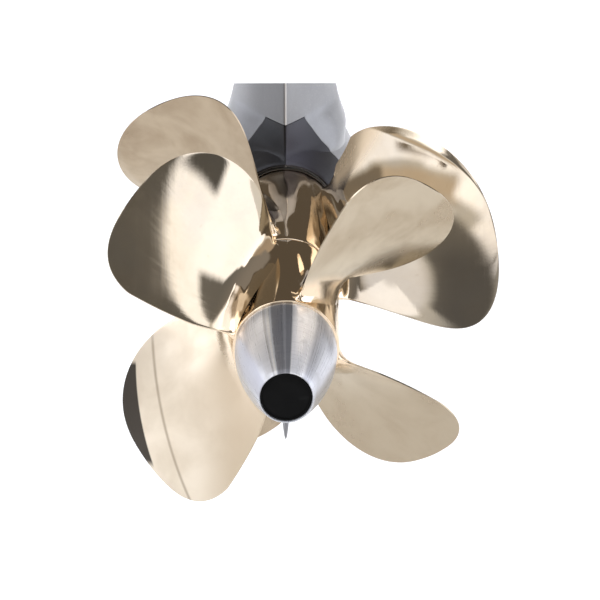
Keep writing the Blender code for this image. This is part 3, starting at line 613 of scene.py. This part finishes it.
class Graph:
    """Short ways to add and join shader nodes in one tree."""

    def __init__(self, tree):
        self.tree = tree
        tree.nodes.clear()

    def add(self, kind, output=0, inputs=None, **settings):
        node = self.tree.nodes.new("ShaderNode" + kind)
        for key, value in settings.items():
            setattr(node, key, value)
        for key, value in (inputs or {}).items():
            if isinstance(value, bpy.types.NodeSocket):
                self.tree.links.new(value, node.inputs[key])
            else:
                node.inputs[key].default_value = value
        return node.outputs[output]

    def math(self, operation, a, b=0.0, c=0.0):
        return self.add("Math", 0, {0: a, 1: b, 2: c}, operation=operation)

    def times(self, a, b):
        return self.math("MULTIPLY", a, b)

    def plus(self, a, b):
        return self.math("ADD", a, b)

    def length(self, a, b):
        return self.math("SQRT", self.plus(self.times(a, a), self.times(b, b)))

    def ramp(self, value, low, high, to_low=0.0, to_high=1.0):
        """Smooth step from low to high, spread to the two end values."""
        return self.add(
            "MapRange", 0, {0: value, 1: low, 2: high, 3: to_low, 4: to_high}, interpolation_type="SMOOTHSTEP"
        )

    def mix(self, share, a, b):
        return self.add("Mix", 2, {0: share, 6: a, 7: b}, data_type="RGBA")

    def noise(self, vector, scale, detail=3.0, roughness=0.55, distortion=0.0):
        return self.add(
            "TexNoise", 0,
            {
                "Vector": vector, "Scale": scale, "Detail": detail, "Roughness": roughness,
                "Distortion": distortion,
            },
        )

    def stretch(self, vector, sizes, turn=(0.0, 0.0, 0.0)):
        return self.add("Mapping", 0, {"Vector": vector, "Scale": sizes, "Rotation": turn})

    def relief(self, height, distance, strength=1.0, normal=None):
        inputs = {"Height": height, "Distance": distance, "Strength": strength}
        if normal is not None:
            inputs["Normal"] = normal
        return self.add("Bump", 0, inputs)


def shader(name):
    mat = bpy.data.materials.new(name)
    mat.use_nodes = True
    graph = Graph(mat.node_tree)
    place = graph.add("TexCoord", 3)
    return mat, graph, place


def finish_shader(mat, graph, inputs):
    surface = graph.add("BsdfPrincipled", 0, inputs)
    out = graph.tree.nodes.new("ShaderNodeOutputMaterial")
    graph.tree.links.new(surface, out.inputs["Surface"])
    return mat


def rgb(r, g, b):
    return (r, g, b, 1.0)


def shaft_polar(graph, place):
    """Distance from the shaft line and turn about it, for a piece whose coordinates are the row frame's."""
    parts = graph.add("SeparateXYZ", 0, {0: place}).node.outputs
    up = graph.math("SUBTRACT", parts["Z"], SHAFT_Z)
    distance = graph.length(parts["X"], up)
    turn = graph.math("ARCTAN2", parts["X"], up)
    return parts, distance, turn


def arc_distance(graph, parts, middle_x, middle_z):
    """Distance, seen along the shaft, from a middle that a mark on a blade curves round."""
    across = graph.math("SUBTRACT", parts["X"], middle_x)
    up = graph.math("SUBTRACT", parts["Z"], middle_z)
    return graph.length(across, up)


# Painted reflections on the aft propeller's lower blade, each an arc about a middle given by its x and z.
CRESCENT_MIDDLE = (0.0583, -0.1990)
CRESCENT_INNER_R = 0.2130
REFLECTION_LINE_MIDDLE = (0.1753, -0.1546)
REFLECTION_LINE_R = 0.3150


def lower_blade_painted_reflections(graph, parts, mottle, colour):
    """Painted reflections on the aft propeller's two lower blades. One gets a painted pale reflection and is
    duller, with a painted dark reflection in a crescent along its leading edge and a painted reflection line
    beside it; the other is painted a little darker."""
    x, z = parts["X"], parts["Z"]
    # painted dark reflection: a near-black crescent along the pale blade's leading edge
    corner = graph.times(graph.ramp(x, -0.118, -0.124), graph.ramp(z, -0.202, -0.207))
    outward = arc_distance(graph, parts, *CRESCENT_MIDDLE)
    crescent = graph.ramp(outward, CRESCENT_INNER_R, CRESCENT_INNER_R + 0.0015)
    crescent = graph.times(graph.times(crescent, corner), graph.ramp(z, -0.292, -0.284))
    # painted pale reflection: cream over the lower blade, darker toward its right, and less metallic
    pale = graph.times(graph.ramp(x, 0.02, -0.02), graph.ramp(z, -0.150, -0.195))
    cream = graph.mix(graph.ramp(mottle, 0.35, 0.70), rgb(0.80, 0.705, 0.565), rgb(0.70, 0.605, 0.470))
    cream = graph.mix(graph.ramp(x, -0.100, -0.045), cream, rgb(0.60, 0.490, 0.350))
    colour = graph.mix(graph.times(pale, 0.90), colour, cream)
    metallic = graph.math("MULTIPLY_ADD", pale, -0.45, 1.0)
    # painted darker reflection on the other lower blade
    darker_reflection = graph.times(graph.ramp(x, 0.02, 0.04), graph.ramp(z, -0.165, -0.190))
    colour = graph.mix(graph.times(darker_reflection, 0.60), colour, rgb(0.37, 0.305, 0.220))
    colour = graph.mix(crescent, colour, rgb(0.050, 0.041, 0.032))
    # painted reflection line: a thin dark arc beside the crescent
    beside = graph.math("SUBTRACT", arc_distance(graph, parts, *REFLECTION_LINE_MIDDLE), REFLECTION_LINE_R)
    reflection_line = graph.ramp(graph.math("ABSOLUTE", beside), 0.0002, 0.0024, 1.0, 0.0)
    reflection_line = graph.times(graph.times(reflection_line, graph.ramp(x, -0.085, -0.095)), graph.ramp(z, -0.170, -0.190))
    colour = graph.mix(graph.times(reflection_line, 0.60), colour, rgb(0.26, 0.195, 0.130))
    return colour, metallic, pale


def front_blade_painted_reflections(graph, parts, colour):
    """Painted golden reflection on the front blade's edge beside the leg, less metallic, and a painted darker
    reflection on its far corner.
    """
    x, y, z = parts["X"], parts["Y"], parts["Z"]
    # painted golden reflection on the edge beside the leg
    pale = graph.times(graph.ramp(y, -0.090, -0.062), graph.ramp(x, 0.050, 0.058))
    colour = graph.mix(graph.times(pale, 0.85), colour, rgb(0.66, 0.515, 0.335))
    metallic = graph.math("MULTIPLY_ADD", pale, -0.60, 1.0)
    # painted darker reflection on the far corner
    corner = graph.times(graph.ramp(x, 0.135, 0.180), graph.ramp(z, -0.095, -0.135))
    colour = graph.mix(graph.times(corner, 0.60), colour, rgb(0.20, 0.180, 0.155))
    return colour, metallic, pale


def bronze_material(name, seed, bright_turn, tan_low, tan_high, aft):
    """Nickel aluminium bronze: mirror polish on the hub and one blade, satin on the rest, with soft dents,
    clouds of pale patina, small stains and fine hand scratches."""
    mat, graph, place = shader(name)
    parts, distance, turn = shaft_polar(graph, place)
    toward = graph.math("COSINE", graph.math("SUBTRACT", turn, bright_turn))
    near_hub = graph.ramp(distance, 0.066, 0.085, 1.0, 0.0)
    polish = graph.math("MAXIMUM", graph.ramp(toward, 0.45, 0.80), near_hub)
    if aft:
        # the right flank of the hub has lost its mirror polish
        polish = graph.times(polish, graph.ramp(parts["X"], 0.026, 0.036, 1.0, 0.0))
    hub = graph.ramp(distance, 0.060, 0.080, 1.0, 0.0)
    shifted = graph.add("VectorMath", 0, {0: place, 1: (seed, seed * 0.7, -seed)}, operation="ADD")
    clouds = graph.noise(shifted, 7.0, 5.0, 0.62, 0.4)
    mottle = graph.noise(shifted, 20.0, 4.0, 0.55, 0.3)
    grain = graph.noise(shifted, 420.0, 3.0, 0.6)
    warm = graph.mix(graph.ramp(clouds, 0.34, 0.68), rgb(0.60, 0.520, 0.400), rgb(0.55, 0.455, 0.325))
    tan = graph.mix(graph.ramp(mottle, 0.30, 0.72), tan_low, tan_high)
    colour = graph.mix(graph.math("MULTIPLY_ADD", polish, -0.6, 0.85), warm, tan)
    smears = graph.noise(shifted, 11.0, 5.0, 0.6, 0.6)
    smudge = graph.times(polish, graph.ramp(smears, 0.40, 0.68, 0.0, 0.25))
    colour = graph.mix(smudge, colour, rgb(0.36, 0.335, 0.310))
    colour = graph.mix(graph.times(hub, 0.85), colour, rgb(0.94, 0.75, 0.54))
    stains = graph.times(graph.ramp(clouds, 0.48, 0.72), graph.ramp(mottle, 0.50, 0.70))
    colour = graph.mix(graph.times(stains, 0.40), colour, rgb(0.38, 0.295, 0.195))
    specks = graph.ramp(graph.noise(shifted, 150.0, 2.0, 0.5), 0.68, 0.76)
    colour = graph.mix(graph.times(specks, 0.10), colour, rgb(0.30, 0.235, 0.15))
    # painted reflections, placed by region on chosen blades
    if aft:
        colour, metallic, pale = lower_blade_painted_reflections(graph, parts, mottle, colour)
    else:
        colour, metallic, pale = front_blade_painted_reflections(graph, parts, colour)
    scratch_a = graph.noise(graph.stretch(shifted, (420.0, 5.0, 6.0), (0.3, 0.5, 0.9)), 1.0, 2.0)
    scratch_b = graph.noise(graph.stretch(shifted, (5.0, 380.0, 7.0), (0.9, -0.4, 0.2)), 1.0, 2.0)
    scratches = graph.plus(scratch_a, scratch_b)
    satin = graph.ramp(mottle, 0.3, 0.7, 0.15, 0.25)
    mirror = graph.ramp(clouds, 0.40, 0.75, 0.035, 0.130)
    rough = graph.add("Mix", 0, {0: polish, 2: satin, 3: mirror}, data_type="FLOAT")
    rough = graph.plus(rough, graph.times(stains, 0.10))
    rough = graph.plus(rough, graph.times(pale, 0.18))
    rough = graph.plus(rough, graph.ramp(scratches, 0.9, 1.25, 0.0, 0.03))
    dents = graph.noise(shifted, 13.0, 1.0, 0.4, 0.2)
    waves = graph.noise(graph.stretch(shifted, (40.0, 7.0, 40.0)), 1.0, 1.0, 0.4, 0.5)
    normal = graph.relief(dents, 0.0020, 0.35)
    normal = graph.relief(graph.times(waves, hub), 0.0050, 0.80, normal)
    normal = graph.relief(scratches, 0.00005, 0.20, normal)
    normal = graph.relief(grain, 0.00004, 0.25, normal)
    return finish_shader(mat, graph, {
        "Base Color": colour, "Metallic": metallic, "Roughness": rough, "Normal": normal,
        "Specular Tint": rgb(1.0, 0.97, 0.90),
    })


# painted reflections on the cone: bearing from the top, half width and softness in degrees, strength, colour
CONE_PAINTED_REFLECTIONS = (
    (-68.0, 10.0, 16.0, 0.50, rgb(0.36, 0.35, 0.40)),
    (-38.0, 8.0, 12.0, 0.60, rgb(0.80, 0.80, 0.82)),
    (-26.0, 0.8, 1.6, 0.50, rgb(0.30, 0.28, 0.26)),
    (-21.5, 0.8, 1.8, 0.60, rgb(0.86, 0.84, 0.78)),
    (-4.5, 11.5, 2.5, 0.80, rgb(0.14, 0.14, 0.155)),
    (-2.0, 0.8, 1.8, 0.30, rgb(0.60, 0.60, 0.62)),
    (9.5, 1.0, 2.0, 0.75, rgb(0.92, 0.91, 0.90)),
    (24.0, 9.0, 10.0, 0.95, rgb(0.98, 0.98, 1.0)),
    (46.0, 4.0, 9.0, 0.45, rgb(0.40, 0.40, 0.45)),
    (72.0, 8.0, 12.0, 0.50, rgb(0.80, 0.80, 0.86)),
)


def turned_metal(name):
    """Bright turned stainless: fine rings round the cone, light streaks along it, faint handling marks and
    painted reflection bands.
    """
    mat, graph, place = shader(name)
    parts, _, turn = shaft_polar(graph, place)
    around = graph.add("CombineXYZ", 0, {0: graph.times(turn, 14.0), 1: graph.times(parts["Y"], 2.2), 2: 0.3})
    rings = graph.add("CombineXYZ", 0, {0: graph.times(turn, 0.8), 1: graph.times(parts["Y"], 900.0), 2: 1.7})
    streaks = graph.noise(around, 2.2, 5.0, 0.7)
    lines = graph.noise(rings, 1.0, 2.0, 0.6)
    marks = graph.noise(place, 60.0, 5.0, 0.6, 0.8)
    colour = graph.mix(graph.ramp(streaks, 0.3, 0.7), rgb(0.50, 0.51, 0.535), rgb(0.60, 0.61, 0.635))
    # painted reflections: broad bright and dark bands run from the rim to the cap
    for middle, half, soft, strength, tint in CONE_PAINTED_REFLECTIONS:
        beside = graph.math("ABSOLUTE", graph.math("SUBTRACT", turn, math.radians(middle)))
        band = graph.ramp(beside, math.radians(half), math.radians(half + soft), strength, 0.0)
        colour = graph.mix(band, colour, tint)
    colour = graph.mix(graph.ramp(lines, 0.35, 0.75, 0.0, 0.25), colour, rgb(0.34, 0.35, 0.37))
    colour = graph.mix(graph.ramp(marks, 0.58, 0.75, 0.0, 0.30), colour, rgb(0.36, 0.355, 0.35))
    rough = graph.plus(graph.ramp(streaks, 0.3, 0.7, 0.26, 0.33), graph.ramp(marks, 0.5, 0.8, 0.0, 0.06))
    normal = graph.relief(lines, 0.00006, 0.40)
    normal = graph.relief(streaks, 0.0004, 0.10, normal)
    return finish_shader(mat, graph, {
        "Base Color": colour, "Metallic": 0.60, "Roughness": rough, "Normal": normal,
        "Anisotropic": 0.70, "Tangent": graph.add("Tangent", 0, direction_type="RADIAL", axis="Y"),
    })


def paint_material(name, low, high, roughness, ridge_y):
    """Silver grey sprayed casting: metallic flake, orange peel, faint runs and dust."""
    mat, graph, place = shader(name)
    flake = graph.noise(place, 900.0, 2.0, 0.5)
    cloud = graph.noise(place, 14.0, 4.0, 0.6)
    peel = graph.noise(place, 170.0, 2.0, 0.5)
    smear = graph.noise(graph.stretch(place, (40.0, 40.0, 6.0)), 1.0, 4.0)
    colour = graph.mix(graph.ramp(cloud, 0.3, 0.7), low, high)
    colour = graph.mix(graph.ramp(flake, 0.60, 0.72, 0.0, 0.35), colour, rgb(0.62, 0.63, 0.65))
    colour = graph.mix(graph.ramp(smear, 0.58, 0.75, 0.0, 0.25), colour, rgb(0.20, 0.20, 0.205))
    rough = graph.plus(graph.ramp(cloud, 0.3, 0.7, roughness - 0.04, roughness + 0.06),
                       graph.ramp(smear, 0.5, 0.8, 0.0, 0.10))
    # painted highlight: a pale strip along the rear ridge, a little less metallic
    parts = graph.add("SeparateXYZ", 0, {0: place}).node.outputs
    beside = graph.math("ABSOLUTE", graph.math("SUBTRACT", parts["X"], 0.0008))
    ridge_highlight = graph.times(graph.ramp(beside, 0.0005, 0.0015, 1.0, 0.0),
                        graph.ramp(parts["Y"], ridge_y + 0.004, ridge_y + 0.010, 1.0, 0.0))
    # painted shade darkens the left side of the ridge, and what hangs below the torpedo
    below = graph.ramp(parts["Z"], SHAFT_Z - 0.080, SHAFT_Z - 0.170)
    left = graph.times(graph.ramp(parts["X"], 0.0, -0.0005, 0.0, 0.60),
                      graph.ramp(parts["Y"], ridge_y + 0.040, ridge_y + 0.110, 1.0, 0.0))
    painted_shade = graph.math("MAXIMUM", left, graph.times(below, 0.50))
    # painted shade on the left of the ridge and below the torpedo
    colour = graph.mix(painted_shade, colour, rgb(0.020, 0.020, 0.021))
    # painted highlight along the rear ridge
    colour = graph.mix(ridge_highlight, colour, rgb(0.86, 0.86, 0.86))
    metallic = graph.math("MULTIPLY_ADD", ridge_highlight, -0.20, 0.20)
    normal = graph.relief(peel, 0.00025, 0.25)
    normal = graph.relief(flake, 0.00003, 0.20, normal)
    return finish_shader(mat, graph, {
        "Base Color": colour, "Metallic": metallic, "Roughness": rough, "Normal": normal,
        "Coat Weight": graph.math("MULTIPLY_ADD", below, -0.45, 0.45), "Coat Roughness": 0.08,
        "Specular IOR Level": graph.math("MULTIPLY_ADD", below, -0.45, 0.50),
    })


def plastic_material(name, low, high, roughness, grain_size=700.0, shine=0.22, painted_highlight=0.0):
    """Moulded plastic or rubber: fine spark texture and scuffs, with a painted highlight, paler where x is
    positive.
    """
    mat, graph, place = shader(name)
    grain = graph.noise(place, grain_size, 3.0, 0.6)
    cloud = graph.noise(place, 22.0, 5.0, 0.6, 0.4)
    scuffs = graph.noise(graph.stretch(place, (30.0, 220.0, 60.0), (0.4, 0.2, 0.7)), 1.0, 4.0)
    colour = graph.mix(graph.ramp(cloud, 0.3, 0.7), low, high)
    light = tuple(min(1.0, 2.2 * c + 0.010) for c in high[:3]) + (1.0,)
    across = graph.add("SeparateXYZ", 0, {0: place}).node.outputs["X"]
    # painted highlight: paler where x is positive, fading away from the middle
    fading = graph.ramp(across, 0.004, 0.050, painted_highlight, 0.2 * painted_highlight)
    paler = graph.times(graph.ramp(across, 0.0004, 0.0010), fading)
    colour = graph.mix(paler, colour, rgb(0.110, 0.106, 0.130))
    colour = graph.mix(graph.ramp(scuffs, 0.62, 0.74, 0.0, 0.35), colour, light)
    rough = graph.plus(graph.ramp(grain, 0.3, 0.7, roughness - 0.05, roughness + 0.05),
                       graph.ramp(scuffs, 0.5, 0.8, 0.0, 0.10))
    normal = graph.relief(grain, 0.00006, 0.45)
    normal = graph.relief(cloud, 0.0004, 0.10, normal)
    return finish_shader(mat, graph, {
        "Base Color": colour, "Metallic": 0.0, "Roughness": rough, "Normal": normal,
        "Specular IOR Level": shine,
    })


def machined_material(name, low, high, roughness):
    """Machined metal: cutter lines, oil clouding and small stains."""
    mat, graph, place = shader(name)
    lines = graph.noise(graph.stretch(place, (60.0, 1500.0, 60.0)), 1.0, 2.0)
    cloud = graph.noise(place, 30.0, 5.0, 0.6, 0.5)
    grain = graph.noise(place, 800.0, 2.0, 0.5)
    colour = graph.mix(graph.ramp(cloud, 0.3, 0.7), low, high)
    dark = tuple(0.55 * c for c in low[:3]) + (1.0,)
    colour = graph.mix(graph.ramp(grain, 0.62, 0.72, 0.0, 0.25), colour, dark)
    colour = graph.mix(graph.ramp(cloud, 0.60, 0.80, 0.0, 0.35), colour, dark)
    rough = graph.plus(graph.ramp(lines, 0.3, 0.7, roughness - 0.05, roughness + 0.06),
                       graph.ramp(cloud, 0.5, 0.8, 0.0, 0.12))
    normal = graph.relief(lines, 0.00005, 0.40)
    normal = graph.relief(grain, 0.00004, 0.25, normal)
    return finish_shader(mat, graph, {
        "Base Color": colour, "Metallic": 1.0, "Roughness": rough, "Normal": normal,
    })


bronze_aft = bronze_material(
    "polished_bronze_aft", 0.0, REAR["first_angle"],
    rgb(0.54, 0.462, 0.348), rgb(0.42, 0.336, 0.235), True,
)
bronze_front = bronze_material(
    "polished_bronze_front", 3.7, FRONT["first_angle"] + math.radians(120.0),
    rgb(0.440, 0.352, 0.250), rgb(0.300, 0.222, 0.145), False,
)
cone_metal = turned_metal("turned_stainless")
cap_plastic = plastic_material(
    "cap_plastic", rgb(0.0015, 0.0015, 0.0015), rgb(0.003, 0.003, 0.003), 0.62, shine=0.10,
)
# the collar gets a painted highlight on its right half
collar_plastic = plastic_material(
    "collar_plastic", rgb(0.008, 0.008, 0.0092), rgb(0.014, 0.0138, 0.0160), 0.34, painted_highlight=0.60,
)
housing_paint = paint_material(
    "housing_paint", rgb(0.270, 0.272, 0.282), rgb(0.335, 0.338, 0.350), 0.42, END_Y + LEG_RIDGE_Y,
)
carrier_alloy = machined_material("carrier_alloy", rgb(0.45, 0.455, 0.46), rgb(0.56, 0.565, 0.57), 0.34)
joint_alloy = machined_material("joint_face_alloy", rgb(0.55, 0.555, 0.56), rgb(0.66, 0.665, 0.67), 0.30)
gear_steel = machined_material("gear_steel", rgb(0.36, 0.36, 0.365), rgb(0.46, 0.46, 0.465), 0.28)
small_bronze = machined_material("fitting_bronze", rgb(0.52, 0.42, 0.27), rgb(0.62, 0.50, 0.33), 0.30)
seal_rubber = plastic_material("seal_rubber", rgb(0.012, 0.012, 0.012), rgb(0.022, 0.021, 0.020), 0.60, 400.0)

build_propeller("aft_propeller_fine", REAR, "aft_propeller_set", ["aft_propeller"], bronze_aft)
build_propeller("front_propeller_fine", FRONT, "front_propeller_set", ["front_propeller"], bronze_front)
build_cone(cone_metal)
build_cap(cap_plastic)
build_casing(housing_paint, joint_alloy, collar_plastic)

# CAD nodes that still show wear the same materials, by the slot in their record
BY_SLOT = {
    "propeller_bronze": bronze_aft, "bronze_fittings": small_bronze, "tail_cone_metal": cone_metal,
    "end_cap_plastic": cap_plastic, "housing_paint": housing_paint, "collar_plastic": collar_plastic,
    "carrier_alloy": carrier_alloy, "steel": gear_steel, "rubber": seal_rubber,
}

for entry in frame["record"]["subparts"]:
    node = frame["nodes"].get(entry["node"])
    if node is not None and node.type == "MESH":
        node.data.materials.clear()
        node.data.materials.append(BY_SLOT[entry["material_slot"]])

# ---- camera --------------------------------------------------------------------------------------

CAMERA_ELEVATION = math.radians(22.5)
CAMERA_YAW = math.radians(-0.399)
CAMERA_DISTANCE = 2.4524
CAMERA_RISE = 0.09226
CAMERA_SIDE = 0.01295
FOCAL_PIXELS = 2600.0
IMAGE_WIDTH = 600.0
SENSOR_WIDTH = 36.0

camera_data = bpy.data.cameras.new("camera")
camera = bpy.data.objects.new("camera", camera_data)
bpy.context.scene.collection.objects.link(camera)
bpy.context.scene.camera = camera
camera_data.sensor_width = SENSOR_WIDTH
camera_data.lens = FOCAL_PIXELS / IMAGE_WIDTH * SENSOR_WIDTH
ahead = Vector((0.0, math.cos(CAMERA_ELEVATION), -math.sin(CAMERA_ELEVATION)))
upward = Vector((0.0, math.sin(CAMERA_ELEVATION), math.cos(CAMERA_ELEVATION)))
offset = upward * CAMERA_RISE - ahead * CAMERA_DISTANCE + Vector((CAMERA_SIDE, 0.0, 0.0))
camera.location = at(0.0, 0.0, 0.0) + Matrix.Rotation(CAMERA_YAW, 3, "Z") @ offset
camera.rotation_euler = (math.radians(90.0) - CAMERA_ELEVATION, 0.0, CAMERA_YAW)

# ---- floor ---------------------------------------------------------------------------------------

FLOOR_DROP = 0.16
FLOOR_GLOW = 0.42
FLOOR_REACH = 14.0
floor_z = CAD_BOX[0][2] - FLOOR_DROP
floor_mesh = bpy.data.meshes.new("floor")
floor_mesh.from_pydata(
    [(x * FLOOR_REACH, y * FLOOR_REACH, floor_z) for x, y in ((-1, -1), (1, -1), (1, 1), (-1, 1))],
    [], [(0, 1, 2, 3)],
)
floor = bpy.data.objects.new("floor", floor_mesh)
bpy.context.scene.collection.objects.link(floor)
floor_mat, floor_graph, _ = shader("pale_floor")
finish_shader(floor_mat, floor_graph, {
    "Base Color": rgb(0.86, 0.86, 0.86), "Roughness": 0.9, "Emission Color": rgb(1.0, 1.0, 1.0),
    "Emission Strength": FLOOR_GLOW, "Specular IOR Level": 0.0,
})
floor_mesh.materials.append(floor_mat)

# ---- studio light --------------------------------------------------------------------------------
# A white room with soft boxes and dark openings, each a soft-edged patch. The camera sees plain white.
# Bearing 0 is behind the camera and 90 to its right. A later row lies over the earlier ones.
# Each row: bearing, height, half width, half height and softness in degrees, then brightness and tint.

ROOM = 0.95
COOL = (0.97, 1.00, 1.10)
WARM = (1.12, 0.97, 0.80)
PLAIN = (1.00, 0.98, 0.97)
PATCHES = (
    (0.0, 90.0, 181.0, 20.0, 4.0, 1.35, COOL),
    (180.0, 44.0, 56.0, 30.0, 5.0, 0.36, WARM),
    (180.0, 31.0, 25.0, 36.0, 3.0, 0.09, WARM),
    (92.0, 20.0, 30.0, 27.0, 2.5, 2.10, COOL),
    (74.0, 28.0, 9.0, 32.0, 2.5, 2.00, COOL),
    (131.0, 55.0, 48.0, 17.0, 2.5, 0.24, PLAIN),
    (80.0, 76.0, 50.0, 9.0, 3.0, 2.00, COOL),
    (46.0, 28.0, 21.0, 30.0, 2.5, 0.19, PLAIN),
    (68.0, 1.0, 15.0, 10.0, 2.0, 0.15, PLAIN),
    (-87.0, 58.0, 31.0, 17.0, 4.0, 3.30, COOL),
    (-105.0, 10.0, 30.0, 12.0, 2.5, 1.90, COOL),
    (-83.0, 31.0, 28.0, 5.0, 3.0, 0.80, WARM),
    (-122.0, 31.0, 24.0, 6.0, 2.5, 0.30, WARM),
    (-64.0, 17.0, 12.0, 7.0, 2.5, 2.20, COOL),
    (-50.0, 26.0, 9.0, 8.0, 2.5, 2.20, COOL),
    (-30.0, 36.0, 14.0, 6.0, 2.5, 2.00, COOL),
    (-78.0, 11.0, 9.0, 7.0, 3.0, 0.30, WARM),
    (-28.0, 54.0, 44.0, 13.0, 3.0, 0.26, PLAIN),
)

world = bpy.data.worlds.new("studio")
bpy.context.scene.world = world
world.use_nodes = True
studio = Graph(world.node_tree)
ray = studio.add("TexCoord", 0)
parts = studio.add("SeparateXYZ", 0, {0: ray}).node.outputs
height = studio.math("MULTIPLY", studio.math("ARCSINE", parts["Z"]), 180.0 / math.pi)
bearing = studio.math("ARCTAN2", parts["X"], studio.math("MULTIPLY", parts["Y"], -1.0))
bearing = studio.math("MULTIPLY", bearing, 180.0 / math.pi)
light = rgb(ROOM, ROOM, ROOM)
for patch_bearing, patch_height, half_bearing, half_height, soft, power, tint in PATCHES:
    off = studio.math("SUBTRACT", bearing, patch_bearing)
    off = studio.math("WRAP", off, 180.0, -180.0)
    across = studio.ramp(studio.math("ABSOLUTE", off), half_bearing - soft, half_bearing + soft, 1.0, 0.0)
    rise = studio.math("ABSOLUTE", studio.math("SUBTRACT", height, patch_height))
    upright = studio.ramp(rise, half_height - soft, half_height + soft, 1.0, 0.0)
    colour = rgb(*(power * share for share in tint))
    light = studio.mix(studio.math("MULTIPLY", across, upright), light, colour)
seen = studio.add("LightPath", 0)
light = studio.mix(seen, light, rgb(1.0, 1.0, 1.0))
sky = studio.add("Background", 0, {0: light, 1: 1.0})
world_out = studio.tree.nodes.new("ShaderNodeOutputWorld")
studio.tree.links.new(sky, world_out.inputs["Surface"])

bpy.context.scene.view_settings.view_transform = "Standard"
